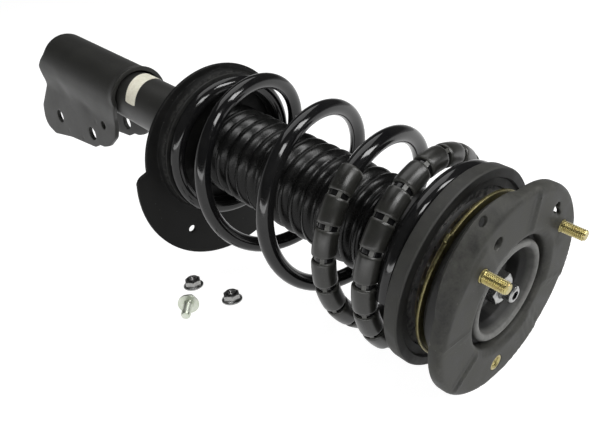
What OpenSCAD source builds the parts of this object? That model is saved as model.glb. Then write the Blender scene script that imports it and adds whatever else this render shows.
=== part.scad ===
// MacPherson strut assembly, lying along X with its spring, boot, tower mount and knuckle bracket.
// The seating face of the tower mount is at x = 0, and the knuckle bracket lies towards -X.
// A size called "below the face" is a distance from that face along -X.

/* [Tower mount] */
// Diameter of the tower plate
mount_d = 146; // [143:1:150]
// Sheet thickness of the tower plate
plate_t = 3; // [2.5:0.25:3.5]
// Depth of the plate's turned-down skirt
skirt_h = 9; // [8:0.5:11]
// Diameter of the central opening
opening_d = 79; // [78:0.5:80]
// Diameter of the circle through the two studs and the insert
bolt_pcd = 112; // [110:0.5:114]
// Thread diameter of the studs, the insert and the loose fasteners
stud_d = 8; // [7:1:9]
// Length of stud above the face
stud_out = 16; // [12:1:22]
// Depth from the face to the lower plate
mount_h = 27; // [26.5:0.5:29]
// Diameter of the plated lower plate
lower_plate_d = 118; // [116:1:120]

/* [Rod and damper] */
// Diameter of the piston rod
rod_d = 20; // [18:0.5:22]
// Diameter of the rod's threaded ends
rod_thread_d = 12; // [10:1:13]
// Distance that the rod's tip stands out of the face
rod_tip = 1.2; // [0:0.2:4]
// Across-flats size of the rod's two nuts
rod_nut_af = 19; // [18:0.5:20]
// Distance from the face down to the front of the rod nut
rod_nut_below = 6.6; // [5:0.2:7.4]
// Outer diameter of the damper tube
tube_d = 51; // [50:0.5:54]
// Wall of the damper tube
tube_wall = 2.2; // [1.8:0.1:2.6]
// Distance from the face to the top of the tube
tube_top = 252; // [248:1:256]
// Length of the damper tube
tube_l = 340; // [330:1:344]
// Diameter of the piston
piston_d = 32; // [31:0.5:34]
// Travel from full extension until the tube is close to the bump stop
stroke = 140; // [120:1:145]

/* [Coil spring] */
// Diameter of the spring wire
wire_d = 12.8; // [11:0.1:13.2]
// Radius of the coil, to the middle of the wire
coil_r = 66; // [65:0.25:67]
// Radius of the coil's drawn-in lower end
pigtail_r = 57; // [56:0.25:58]
// Number of curls, with the closed ends
curls = 5.5; // [5:0.25:5.75]
// Wall of the plastic sleeves on the wire
sleeve_wall = 1.8; // [1:0.1:2]
// Length of each sleeve
sleeve_l = 19; // [15:0.5:19.5]

/* [Spring seats] */
// Distance from the face to the lower spring seat
lower_seat_below = 297; // [294:1:300]
// Diameter of the lower seat's round part
lower_seat_d = 148; // [146:1:152]
// Radius of the lower seat's wide lobe
lobe_r = 97.5; // [95:0.5:100]
// Sheet thickness of the lower seat
seat_t = 3; // [2.5:0.25:3.5]
// Thickness of the rubber pad under the coil
pad_t = 1.6; // [1.2:0.1:2.4]
// Distance from the face to the coil's upper seat
upper_seat_below = 44; // [43.5:0.5:46]
// Diameter of the upper rubber seat
upper_seat_d = 142; // [141:0.5:144]

/* [Dust boot] */
// Diameter over the boot's ribs
boot_d = 76; // [73:0.5:78]
// Depth of each rib
rib_depth = 6; // [4:0.5:6.5]
// Number of ribs
rib_count = 15; // [10:1:18]
// Wall of the boot
boot_wall = 1.5; // [1.2:0.1:2]

/* [Knuckle bracket] */
// Sheet thickness of the bracket
bracket_t = 4.5; // [4:0.25:5]
// Gap between the ears
clevis_gap = 39.5; // [38:0.5:41]
// Diameter of the two knuckle bolt holes
knuckle_hole_d = 15.2; // [14:0.1:17]
// Distance from the face to the bolt hole nearer the spring
knuckle_hole_below = 510.5; // [508:0.5:513]
// Distance between the two bolt holes, along the strut
knuckle_hole_spacing = 81.5; // [79:0.5:84]

/* [Hidden] */

satin_black = [0.13, 0.13, 0.13];
dull_black = [0.07, 0.07, 0.07];
gloss_black = [0.04, 0.04, 0.04];
rubber_black = [0.16, 0.16, 0.15];
sleeve_grey = [0.22, 0.22, 0.21];
zinc_yellow = [0.66, 0.62, 0.34];
zinc_silver = [0.72, 0.72, 0.70];
bare_steel = [0.55, 0.56, 0.57];
foam_tan = [0.78, 0.70, 0.45];

// Fits: radial clearance of a sliding pair, of a loose pair and of a pressed pair
run_fit = 0.04;
loose_fit = 0.3;
press_gap = 0.05;
fine = 96;
coarse = 48;
few_steps = 5;
some_steps = 8;
far = 200;
past = 1;

mount_r = mount_d / 2;
opening_r = opening_d / 2;
bolt_r = bolt_pcd / 2;
stud_r = stud_d / 2;
lower_plate_r = lower_plate_d / 2;
tube_r = tube_d / 2;
bore_r = tube_r - tube_wall;
rod_r = rod_d / 2;
thread_r = rod_thread_d / 2;
piston_r = piston_d / 2;
wire_r = wire_d / 2;
tube_x = -tube_top;
tube_end_x = tube_x - tube_l;
seat_x = -lower_seat_below;
upper_x = -upper_seat_below;

// Fastener angles about X, from +Y towards +Z
stud_angles = [31.5, 139];
insert_angle = 267;

// Local Z runs along +X, and local X and Y run along +Y and +Z
module along(x) translate([x, 0, 0]) rotate([90, 0, 90]) children();

// Solid of revolution about the strut axis, from points [radius, x]
module turned(points) rotate([90, 0, 90]) rotate_extrude($fn = fine) polygon(points);

module disc(r, x0, x1) along(x0) cylinder(r = r, h = x1 - x0, $fn = fine);

module ring(r0, r1, x0, x1) turned([[r0, x0], [r1, x0], [r1, x1], [r0, x1]]);

function arc(c, r, a0, a1, n) = [for (i = [0 : n]) let (a = a0 + (a1 - a0) * i / n) c + r * [cos(a), sin(a)]];

// Smooth step from 0 to 1
function ease(x) = let (t = min(max(x, 0), 1)) t * t * (3 - 2 * t);

// Outline with round corners, from points [x, y, corner radius]
function flat(p) = [p.x, p.y];
function unit(v) = v / norm(v);
function corner(a, b, c, n) =
    let (u = unit(flat(a) - flat(b)), v = unit(flat(c) - flat(b)), half = acos(u * v) / 2,
        m = flat(b) + unit(u + v) * b.z / sin(half), run = b.z / tan(half),
        p = flat(b) + u * run - m, q = flat(b) + v * run - m, a0 = atan2(p.y, p.x),
        raw = atan2(q.y, q.x) - a0, turn = raw > 180 ? raw - 360 : raw < -180 ? raw + 360 : raw)
    b.z == 0 ? [flat(b)] : arc(m, b.z, a0, a0 + turn, n);
function rounded(points, n) = let (k = len(points))
    [for (i = [0 : k - 1]) each corner(points[(i + k - 1) % k], points[i], points[(i + 1) % k], n)];

sector_steps = 24;
module sector(r, a0, a1) polygon(concat([[0, 0]], arc([0, 0], r, a0, a1, sector_steps)));

// ---- Tower mount ----

// Three pads stand up round the fasteners, with lower valleys between them
pad_rise = 1;
pad_margin = 2.5;
pad_sectors = [[-17, 84], [127, 183], [224, 311]];
edge_cut = 1.5;
collar_t = 3;
collar_h = 20;
rest_x = -plate_t - pad_rise;

// A lug widens the plate beside one stud: it stands out past the plate at the face, and further at the skirt
lug_angle = 130;
lug_offset = 35;
lug_top = 2;
lug_foot = 11;
lug_drop = 0.5;
lug_lean = (lug_foot - lug_top) / (skirt_h - pad_rise);
lug_wall = plate_t * sqrt(1 + lug_lean * lug_lean);

// Relief holes: [radius from the axis, angle, diameter]
reliefs = [[60, 120, 8], [59.1, 56, 7.5]];

// Threaded insert: a tapped sleeve with a flange under the plate
insert_wall = 1.7;
insert_l = 14;
insert_flange_t = 3;
insert_flange = 2.5;
tap_share = 0.85;
tap_r = stud_r * tap_share;
insert_r = stud_r + insert_wall;

module on_bolt_circle(a) rotate([a, 0, 0]) translate([0, bolt_r, 0]) children();

module pads(top) for (s = pad_sectors) along(top - pad_rise) linear_extrude(pad_rise) difference() {
    intersection() {
        circle(r = mount_r - pad_margin, $fn = fine);
        sector(mount_r + far, s[0], s[1]);
    }
    circle(r = opening_r + collar_t, $fn = fine);
}

module lug(inset, x0, x1) rotate([lug_angle, 0, 0]) translate([0, lug_offset, 0]) along(x0) cylinder(
    r1 = mount_r - lug_offset + lug_top - (x0 + pad_rise) * lug_lean - inset,
    r2 = mount_r - lug_offset + lug_top - (x1 + pad_rise) * lug_lean - inset,
    h = x1 - x0, $fn = fine);

module mount_plate() color(satin_black) difference() {
    union() {
        turned(concat(
            [[opening_r, -collar_h], [opening_r, -pad_rise]],
            [[mount_r - edge_cut, -pad_rise], [mount_r, -pad_rise - edge_cut], [mount_r, -skirt_h],
                [opening_r + collar_t, -skirt_h], [opening_r + collar_t, -collar_h]]));
        lug(0, -skirt_h - lug_drop, -pad_rise);
        pads(0);
    }
    difference() {
        union() {
            disc(mount_r - plate_t, -skirt_h - past, rest_x);
            lug(lug_wall, -skirt_h - past, rest_x);
            pads(rest_x + pad_rise);
        }
        disc(opening_r + collar_t, -collar_h, 0);
    }
    disc(opening_r, -collar_h - past, past);
    for (a = stud_angles) on_bolt_circle(a) disc(stud_r + knurl + press_gap, -skirt_h, past);
    on_bolt_circle(insert_angle) disc(insert_r + press_gap, -skirt_h, past);
    for (h = reliefs) rotate([h[1], 0, 0]) translate([0, h[0], 0]) disc(h[2] / 2, rest_x - past, past);
}

// Rubber: the drum under the plate, the lip that lines the opening, and the floor with its bush
lip_r = 32.8;
lip_round = 2.8;
lip_below = 3;
lip_from = 190;
groove_below = 9;
well_r = 26;
well_below = 23;
well_flare = 0.5;
well_rise = 10;
bush_wall = 7;
rubber_r = 57;
rubber_edge = 3;
pocket_r = 9;
pocket_h = 7;
washer_t = 2.5;
washer_r = 13;
rod_nut_h = 10;
sleeve_x = -rod_nut_below - rod_nut_h - washer_t;
bush_l = 12;
shoulder_x = sleeve_x - bush_l;
bush_r = thread_r + bush_wall;
hub_slope = 4;
hub_drop = 2;

module mount_rubber() color(rubber_black) difference() {
    turned([[opening_r, -well_below], [rubber_r, -well_below], [rubber_r, rest_x],
        [opening_r + collar_t + press_gap, rest_x], [opening_r + collar_t + press_gap, -collar_h - press_gap],
        [opening_r, -collar_h - press_gap]]);
    for (a = stud_angles) on_bolt_circle(a) disc(pocket_r, rest_x - pocket_h, 0);
    on_bolt_circle(insert_angle) disc(pocket_r, -insert_l - pad_rise, 0);
}

module mount_lip() color(rubber_black) turned(concat(
    [[well_r, -well_below], [well_r + well_flare, -well_below + well_rise]],
    arc([lip_r, -lip_below - lip_round], lip_round, lip_from, 0, some_steps),
    [[lip_r + lip_round, -groove_below], [opening_r - press_gap, -groove_below],
        [opening_r - press_gap, -well_below]]));

module mount_bush() color(rubber_black) turned([
    [bush_r, -mount_h], [bush_r, sleeve_x - hub_drop], [bush_r + hub_slope, -well_below],
    [rubber_r, -well_below],
    [rubber_r, -mount_h + rubber_edge], [rubber_r - rubber_edge, -mount_h]]);

// Steel bush bonded into the rubber, which the rod's shoulder pulls up to the washer
module mount_sleeve() color(bare_steel) ring(thread_r + press_gap, bush_r, shoulder_x, sleeve_x);

lower_plate_t = 2.5;
lower_x = -mount_h - lower_plate_t;
tab_angle = 130;
tab_w = 6;
tab_out = 2;
lower_hole_r = bush_r + 2;

module lower_mount_plate() color(zinc_yellow) difference() {
    union() {
        disc(lower_plate_r, lower_x, -mount_h);
        rotate([tab_angle, 0, 0]) translate([lower_x, lower_plate_r - tab_w, -tab_w / 2])
            cube([lower_plate_t, tab_w + tab_out, tab_w]);
    }
    disc(lower_hole_r, lower_x - past, 0);
}

stud_head_r = 7;
stud_head_h = 3;
stud_tip = 1;
knurl = 0.4;

// Two studs, each pressed in from below by a knurled shank that ends flush with the face
module mount_studs() color(zinc_yellow) for (a = stud_angles) on_bolt_circle(a) turned([
    [0, -plate_t - stud_head_h], [stud_head_r, -plate_t - stud_head_h], [stud_head_r, -plate_t],
    [stud_r + knurl, -plate_t], [stud_r + knurl, 0], [stud_r, 0],
    [stud_r, stud_out - stud_tip], [stud_r - stud_tip, stud_out], [0, stud_out]]);

module threaded_insert() color(zinc_yellow) on_bolt_circle(insert_angle) turned([
    [tap_r, -insert_l], [insert_r, -insert_l], [insert_r, -plate_t - insert_flange_t],
    [insert_r + insert_flange, -plate_t - insert_flange_t], [insert_r + insert_flange, -plate_t],
    [insert_r, -plate_t], [insert_r, 0], [tap_r, 0]]);

module rod_washer() color(zinc_silver) ring(thread_r + press_gap, washer_r, sleeve_x, sleeve_x + washer_t);

module hex_nut(af, h, hole_r, x) along(x) difference() {
    cylinder(d = af / cos(30), h = h, $fn = 6);
    translate([0, 0, -past]) cylinder(r = hole_r, h = h + 2 * past, $fn = coarse);
}

module rod_nut() color(zinc_silver) hex_nut(rod_nut_af, rod_nut_h, thread_r + press_gap, sleeve_x + washer_t);

// ---- Bearing ----

ball_r = 2.5;
ball_count = 24;
ball_circle_r = 44;
race_half = 6;
race_t = 3;
race_gap = 4;
groove_r = ball_r + 0.1;
ball_x = lower_x - race_t - race_gap / 2;
cage_half = 3.5;
cage_t = 1.8;

// Groove points, from the inner to the outer edge; side is 1 for a groove that opens towards -X
groove_half = acos(race_gap / 2 / groove_r);
function groove(side) = arc([ball_circle_r, ball_x], groove_r,
    side * (90 + groove_half), side * (90 - groove_half), some_steps);

module bearing_upper_race() color(bare_steel) turned(concat(
    [[ball_circle_r - race_half, lower_x], [ball_circle_r - race_half, lower_x - race_t]], groove(1),
    [[ball_circle_r + race_half, lower_x - race_t], [ball_circle_r + race_half, lower_x]]));

lower_race_x = lower_x - race_t - race_gap;

module bearing_lower_race() color(bare_steel) turned(concat(
    [[ball_circle_r - race_half, lower_race_x - race_t], [ball_circle_r - race_half, lower_race_x]], groove(-1),
    [[ball_circle_r + race_half, lower_race_x], [ball_circle_r + race_half, lower_race_x - race_t]]));

module round_the_race(count) for (i = [0 : count - 1]) rotate([360 * i / count, 0, 0])
    translate([0, ball_circle_r, 0]) children();

module bearing_cage() color(foam_tan) difference() {
    ring(ball_circle_r - cage_half, ball_circle_r + cage_half, ball_x - cage_t / 2, ball_x + cage_t / 2);
    round_the_race(ball_count) disc(groove_r, ball_x - cage_t, ball_x + cage_t);
}

module bearing_balls() color(zinc_silver) round_the_race(ball_count) translate([ball_x, 0, 0])
    sphere(r = ball_r, $fn = 24);

// ---- Upper spring seat ----

upper_sheet_t = 2.5;
upper_sheet_x = lower_race_x - race_t;
upper_hole_r = 27;
seat_collar_h = 12;
upper_pad_r = upper_seat_d / 2;
rim_t = 4;
rim_round = 3;
upper_sheet_r = upper_pad_r - rim_t;
upper_pad_w = 14;
upper_pad_in = upper_pad_r - upper_pad_w;
pad_below = 4.5;
rim_from = 80;

module upper_spring_seat() color(dull_black) turned([
    [upper_hole_r, upper_sheet_x], [upper_sheet_r, upper_sheet_x],
    [upper_sheet_r, upper_sheet_x - upper_sheet_t],
    [upper_hole_r + upper_sheet_t, upper_sheet_x - upper_sheet_t],
    [upper_hole_r + upper_sheet_t, upper_sheet_x - seat_collar_h],
    [upper_hole_r, upper_sheet_x - seat_collar_h]]);

// Rubber that grips the seat's rim, with the coil under it
pad_front_x = lower_x - pad_below;

module upper_spring_pad() color(dull_black) turned(concat(
    [[upper_pad_in, upper_sheet_x + press_gap], [upper_pad_in + rim_t, pad_front_x]],
    arc([upper_pad_r - rim_round, pad_front_x - rim_round], rim_round, rim_from, 0, few_steps),
    [[upper_pad_r, upper_x], [upper_pad_in, upper_x], [upper_pad_in, upper_sheet_x - upper_sheet_t - press_gap],
        [upper_sheet_r + press_gap, upper_sheet_x - upper_sheet_t - press_gap],
        [upper_sheet_r + press_gap, upper_sheet_x + press_gap]]));

// ---- Damper ----

rolled_t = 2.5;
rolled_r = 20;
cap_t = 4;

module strut_tube() color(satin_black) turned(concat(
    [[bore_r, tube_end_x], [tube_r, tube_end_x]],
    arc([tube_r - rolled_t, tube_x - rolled_t], rolled_t, 0, 90, 4),
    [[rolled_r, tube_x], [rolled_r, tube_x - rolled_t], [bore_r, tube_x - rolled_t]]));

module tube_end_cap() color(satin_black) disc(bore_r - press_gap, tube_end_x, tube_end_x + cap_t);

// Twin-tube inside: the base valve stands on the end cap and the cylinder on the valve
valve_foot = 14;
valve_t = 8;
valve_spigot = 6;
port_r = 4;
port_edge = 2;
port_count = 4;
valve_hole_r = 1.5;
liner_wall = 1.5;
liner_in = piston_r + run_fit;
liner_out = liner_in + liner_wall;
cap_x = tube_end_x + cap_t;
valve_x = cap_x + valve_foot + valve_t;
guide_h = 20;
spigot = 6;
seal_h = 7.5;
seal_x = tube_x - rolled_t - seal_h;
guide_x = seal_x - guide_h + spigot;

module base_valve() color(bare_steel) difference() {
    turned([[liner_in - liner_wall, cap_x], [bore_r - press_gap, cap_x], [bore_r - press_gap, valve_x],
        [liner_in - press_gap, valve_x], [liner_in - press_gap, valve_x + valve_spigot],
        [0, valve_x + valve_spigot],
        [0, cap_x + valve_foot], [liner_in - liner_wall, cap_x + valve_foot]]);
    for (i = [0 : port_count - 1]) rotate([360 * i / port_count, 0, 0]) {
        translate([cap_x + port_r + port_edge, 0, 0]) cylinder(r = port_r, h = far, $fn = coarse);
        translate([0, liner_in / 2, 0]) disc(valve_hole_r, cap_x, valve_x + valve_spigot + past);
    }
}

module inner_cylinder() color(bare_steel) ring(liner_in, liner_out, valve_x, guide_x);

module rod_guide() color(bare_steel) turned([
    [rod_r + run_fit, guide_x - spigot], [liner_in - press_gap, guide_x - spigot],
    [liner_in - press_gap, guide_x],
    [bore_r - press_gap, guide_x], [bore_r - press_gap, seal_x], [rod_r + run_fit, seal_x]]);

module rod_seal() color(rubber_black) ring(rod_r + run_fit, bore_r - press_gap, seal_x, tube_x - rolled_t);

stop_h = 6;
stop_x = guide_x - spigot - loose_fit - stop_h;
stop_out = 4;
piston_below = 64;
piston_x = tube_x - piston_below;
piston_h = 14;
piston_ports = 6;
piston_port_r = 1.2;
piston_nut_h = 12;
rod_end_past = 3;
rod_end_x = piston_x - piston_h - piston_nut_h - rod_end_past;
rod_tip_chamfer = 1.5;
socket_af = 6;
socket_h = 6;

module piston_rod() color(zinc_silver) difference() {
    turned([[0, rod_end_x], [thread_r, rod_end_x], [thread_r, piston_x], [rod_r, piston_x], [rod_r, shoulder_x],
        [thread_r, shoulder_x], [thread_r, rod_tip - rod_tip_chamfer], [thread_r - rod_tip_chamfer, rod_tip],
        [0, rod_tip]]);
    along(rod_tip - socket_h) cylinder(d = socket_af / cos(30), h = socket_h + past, $fn = 6);
}

module rebound_stop() color(bare_steel) ring(rod_r + press_gap, rod_r + stop_out, stop_x, stop_x + stop_h);

module piston() color(bare_steel) difference() {
    ring(thread_r + press_gap, piston_r, piston_x - piston_h, piston_x);
    for (i = [0 : piston_ports - 1]) rotate([360 * i / piston_ports, 0, 0])
        translate([0, (piston_r + rod_r) / 2, 0])
            disc(piston_port_r, piston_x - piston_h - past, piston_x + past);
}

module piston_nut() color(bare_steel)
    hex_nut(rod_nut_af, piston_nut_h, thread_r + press_gap, piston_x - piston_h - piston_nut_h);

// Foam bump stop with three waists, hung from the lower plate round the rod
bump_clear = 8;
bump_r = 24;
bump_waist = 20;
bump_x = tube_x + stroke + bump_clear;
bump_top = lower_x;
bump_nose = 3;
bump_gap = 1;
bump_waves = 3;
bump_steps = 8;

module bump_stop() color(foam_tan) turned(concat(
    [[bush_r + bump_gap, bump_top], [bush_r + bump_gap, shoulder_x - bump_gap],
        [rod_r + press_gap, shoulder_x - bump_gap], [rod_r + press_gap, bump_x],
        [bump_waist - bump_nose, bump_x]],
    [for (i = [0 : bump_waves * bump_steps]) let (s = i / bump_waves / bump_steps)
        [bump_waist + (bump_r - bump_waist) * pow(sin(180 * bump_waves * s), 2),
            bump_x + bump_nose + (bump_top - bump_x - bump_nose) * s]]));

// ---- Lower spring seat ----

seat_offset = [-3, -4];
lobe_offset = [10, -20];
lobe_from = 171;
lobe_to = 300;
lobe_corner = 9;
lobe_steps = 16;
ledge_h = 8;
ledge_margin = 0.5;
ledge_r = pigtail_r + wire_r + ledge_margin;
ledge_slope = 2.5;
ledge_lap = 0.5;
seat_neck = 18;
drain = [-39, -78];
drain_r = 3.5;

// The lobe is a sector of its own circle with round corners
lobe_rim = arc([0, 0], lobe_r, lobe_from, lobe_to, lobe_steps);
lobe_points = concat([[0, 0, 0]], [for (i = [0 : lobe_steps])
    [lobe_rim[i].x, lobe_rim[i].y, i == 0 || i == lobe_steps ? lobe_corner : 0]]);

module seat_outline() {
    translate(seat_offset) circle(d = lower_seat_d, $fn = fine);
    translate(lobe_offset) polygon(rounded(lobe_points, few_steps));
}

module lower_spring_seat() color(dull_black) {
    along(seat_x - seat_t) linear_extrude(seat_t) difference() {
        seat_outline();
        circle(r = ledge_r, $fn = fine);
        translate(drain) circle(r = drain_r, $fn = coarse);
    }
    turned([[tube_r + press_gap, seat_x - seat_neck], [tube_r + seat_t, seat_x - seat_neck],
        [tube_r + seat_t, seat_x + ledge_h - seat_t], [ledge_r - ledge_lap, seat_x + ledge_h - seat_t],
        [ledge_r + ledge_slope - ledge_lap, seat_x - seat_t],
        [ledge_r + ledge_slope + ledge_lap, seat_x - seat_t],
        [ledge_r + ledge_slope + ledge_lap, seat_x], [ledge_r, seat_x + ledge_h],
        [tube_r + press_gap, seat_x + ledge_h]]);
}

pad_x = seat_x + ledge_h;
module lower_spring_pad() color(rubber_black)
    ring(pigtail_r - wire_r, pigtail_r + wire_r, pad_x, pad_x + pad_t);

// ---- Coil spring ----

// Rings along one unbroken tube: u counts curls, and the coil's height follows a smooth pitch law
curl_rings = 8;
wire_sides = 6;
u_from = -1;
ring_count = round(curls * curl_rings);
low_x = pad_x + pad_t + wire_r;
high_x = upper_x - wire_r;
rise_from = -0.36;
rise_over = 0.41;
fall_from = 0.55;
fall_over = 4.67;
function pitch(u) = ease((u - rise_from) / rise_over) * (1 - ease((u - fall_from) / fall_over));

// Radius at u curls: drawn in at both ends
widen_from = -0.35;
widen_over = 0.55;
narrow_from_u = 3.7;
narrow_over_u = 0.8;
top_in = 5;
function reach(u) = pigtail_r + (coil_r - pigtail_r) * ease((u - widen_from) / widen_over)
    - top_in * ease((u - narrow_from_u) / narrow_over_u);
function climb(i) = i == 0 ? 0 : climb(i - 1) + pitch(u_from + (i - 0.5) / curl_rings);
full_climb = climb(ring_count);
function coil_at(i) =
    let (u = u_from + i / curl_rings, t = 360 * u, x = low_x + (high_x - low_x) * climb(i) / full_climb)
    [x, reach(u) * cos(t), reach(u) * sin(t)];
coil_points = [for (i = [0 : ring_count]) coil_at(i)];
function wire_ring(i) =
    let (p = coil_points[i], out = unit([0, p.y, p.z]),
        ahead = unit(coil_points[min(i + 1, ring_count)] - coil_points[max(i - 1, 0)]),
        side = unit(cross(ahead, out)), up = cross(side, ahead))
    [for (k = [0 : wire_sides - 1]) let (a = 360 * k / wire_sides) p + wire_r * (cos(a) * side + sin(a) * up)];

// A closed tube through rings of equal size, in triangles
module swept(rings) {
    n = len(rings[0]);
    last = len(rings) - 1;
    points = [for (r = rings) each r];
    walls = [for (i = [0 : last - 1]) for (k = [0 : n - 1])
        let (a = i * n + k, b = i * n + (k + 1) % n) each [[a, a + n, b], [b, a + n, b + n]]];
    caps = [for (k = [1 : n - 2]) each [[0, k, k + 1], [last * n, last * n + k + 1, last * n + k]]];
    polyhedron(points, concat(walls, caps));
}

coil_gap = min([for (i = [0 : ring_count - curl_rings]) for (j = [i + curl_rings / 2 : ring_count])
    norm(coil_points[i] - coil_points[j])]) - wire_d;
echo(least_gap_of_the_coil_to_itself_mm = coil_gap);

module coil_spring() color(gloss_black) swept([for (i = [0 : ring_count]) wire_ring(i)]);

// Sleeves, two to each straight run between rings
sleeve_from = 27;
sleeve_to = 35;
sleeve_places = [0.27, 0.73];
sleeve_slip = 0.1;

module aimed(p, q) let (d = unit(q - p)) translate(p) rotate([0, acos(d.z), atan2(d.y, d.x)]) children();

module spring_sleeves() color(sleeve_grey) for (i = [sleeve_from : sleeve_to]) for (s = sleeve_places)
    let (p = coil_points[i], q = coil_points[i + 1])
        aimed(p, q) translate([0, 0, norm(q - p) * s - sleeve_l / 2])
        difference() {
            cylinder(r = wire_r + sleeve_wall, h = sleeve_l, $fn = coarse);
            translate([0, 0, -past]) cylinder(r = wire_r + sleeve_slip, h = sleeve_l + 2 * past, $fn = coarse);
        }

// ---- Dust boot ----

boot_r = boot_d / 2;
cup_l = 45;
cup_drop = 6;
cup_in = 1;
cup_edge = 3;
cup_shoulder = 4;
cup_x = upper_sheet_x - upper_sheet_t - cup_drop;
cup_end_x = cup_x - cup_l;
cup_r = boot_r - cup_in;
root_r = boot_r - rib_depth;
boot_end_x = seat_x + ledge_h + loose_fit;
boot_foot = 4;
ribs_x = boot_end_x + boot_foot;
rib_pitch = (cup_end_x - ribs_x) / rib_count;
rib_crest = 0.2;
boot_grip_r = upper_hole_r + upper_sheet_t + press_gap;

// One side of the boot, from its foot to the cup: shrink is 0 outside and the wall inside
function rib_side(shrink) = [for (i = [0 : rib_count - 1]) each [
    [root_r - shrink, ribs_x + i * rib_pitch],
    [boot_r - shrink, ribs_x + (i + 0.5 - rib_crest / 2) * rib_pitch],
    [boot_r - shrink, ribs_x + (i + 0.5 + rib_crest / 2) * rib_pitch]]];
function reversed(v) = [for (i = [len(v) - 1 : -1 : 0]) v[i]];

module dust_boot() color(gloss_black) turned(concat(
    [[root_r, boot_end_x]], rib_side(0),
    [[root_r, cup_end_x], [cup_r, cup_end_x + cup_edge], [cup_r, cup_x - cup_edge],
        [boot_r - cup_shoulder, cup_x], [boot_grip_r, cup_x], [boot_grip_r, cup_x - boot_wall],
        [boot_r - cup_shoulder - boot_wall, cup_x - boot_wall],
        [cup_r - boot_wall, cup_x - cup_edge - boot_wall],
        [cup_r - boot_wall, cup_end_x + cup_edge + boot_wall], [root_r - boot_wall, cup_end_x + boot_wall]],
    reversed(rib_side(boot_wall)), [[root_r - boot_wall, boot_end_x]]));

// ---- Knuckle bracket ----

wrap_r = tube_r + bracket_t;
ear_y = clevis_gap / 2 + bracket_t;
narrow_from = 3;
narrow_over = 30;
narrow_steps = 8;
ear_depth = 110;
wrap_l = 157;
wrap_past = 4;
wrap_front_x = tube_end_x + wrap_l;
wrap_back_x = tube_end_x - wrap_past;
flare = 2;
flare_l = 12;
flare_lap = 1;
knuckle_hole_r = knuckle_hole_d / 2;
hole_drop = 59.4;
hole_2_drop = 5.1;
hole_1 = [-knuckle_hole_below, -hole_drop];
hole_2 = hole_1 - [knuckle_hole_spacing, hole_2_drop];
small_hole_past = [31.7, 20.7];
small_hole = hole_1 + small_hole_past;
small_hole_r = 4.5;

// Side view of the bracket as [x, z, corner radius]
bracket_side = [
    [wrap_front_x, wrap_r + flare + past, 0], [wrap_front_x, -3, 10], [-448, -22, 20], [-455, -46, 14],
    [-473, -62, 14], [-486, -67.5, 8], [-497, -69, 5], [-509, -76, 10], [-570, -84.5, 60], [-618, -96, 14],
    [-644, -90, 14], [-640, -64, 16], [-612, -28, 20], [-611, -4, 7], [wrap_back_x, 11, 8],
    [wrap_back_x, wrap_r + flare + past, 0]];

// Half width of the bracket's inside at a depth under the tube's axis
function half_gap(z) = let (wide = tube_r + press_gap)
    wide - (wide - clevis_gap / 2) * ease((z - narrow_from) / narrow_over);
depths = concat([for (i = [0 : narrow_steps]) narrow_from + narrow_over * i / narrow_steps], [ear_depth]);
function cheek(side, grow) = [for (z = depths) [side * (half_gap(z) + grow), -z]];
function channel(grow, drop) = concat(arc([0, 0], tube_r + press_gap + grow, 0, 180, 48), cheek(-1, grow),
    [[-clevis_gap / 2 - grow, -ear_depth - drop], [clevis_gap / 2 + grow, -ear_depth - drop]],
    reversed(cheek(1, grow)));

module across(x, z, r) translate([x, 0, z]) rotate([90, 0, 0])
    cylinder(r = r, h = far, center = true, $fn = coarse);

module knuckle_bracket() color(satin_black) difference() {
    intersection() {
        union() {
            along(wrap_back_x - far) linear_extrude(far + wrap_front_x - wrap_back_x) difference() {
                polygon(channel(bracket_t, 0));
                polygon(channel(0, past));
            }
            intersection() {
                turned([[wrap_r - flare_lap, wrap_front_x - flare_l], [wrap_r, wrap_front_x - flare_l],
                    [wrap_r + flare, wrap_front_x], [wrap_r + flare - bracket_t, wrap_front_x]]);
                translate([wrap_front_x - far, -far, 0]) cube(2 * far);
            }
        }
        translate([0, far, 0]) rotate([90, 0, 0]) linear_extrude(2 * far) polygon(rounded(bracket_side, 6));
    }
    for (h = [hole_1, hole_2]) across(h.x, h.y, knuckle_hole_r);
    across(small_hole.x, small_hole.y, small_hole_r);
}

// ---- Loose fasteners on the ground that the mount's rim and the seat's lobe rest on ----

ground_tilt = atan((lobe_r - lobe_offset.y - mount_r) / lower_seat_below);
function ground_z(x) = -mount_r + x * tan(ground_tilt);
module on_ground(p, turn) translate([p.x, p.y, ground_z(p.x)]) rotate([0, -ground_tilt, 0]) rotate([0, 0, turn])
    children();

nut_spots = [[-264.8, -64.1], [-218.8, -55.5]];
nut_af_share = 1.625;
nut_flange_share = 1.12;
nut_af = stud_d * nut_af_share;
nut_flange_r = stud_d * nut_flange_share;
nut_flange_h = 1.6;
nut_h = stud_d;
nut_collar_h = 1.2;
nut_collar_in = 0.5;

module loose_flange_nuts() color(zinc_silver) for (p = nut_spots) on_ground(p, 0) difference() {
    union() {
        cylinder(r = nut_flange_r, h = nut_flange_h, $fn = coarse);
        translate([0, 0, nut_flange_h])
            cylinder(r1 = nut_flange_r, r2 = nut_af / 2, h = nut_flange_h, $fn = coarse);
        cylinder(d = nut_af / cos(30), h = nut_h - nut_collar_h, $fn = 6);
        cylinder(r = nut_af / 2 - nut_collar_in, h = nut_h, $fn = coarse);
    }
    translate([0, 0, -past]) cylinder(r = tap_r, h = nut_h + 2 * past, $fn = coarse);
}

bolt_spot = [-230.7, -91.1];
bolt_turn = 138;
bolt_l = 16;
bolt_head_h = 5.3;

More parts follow.
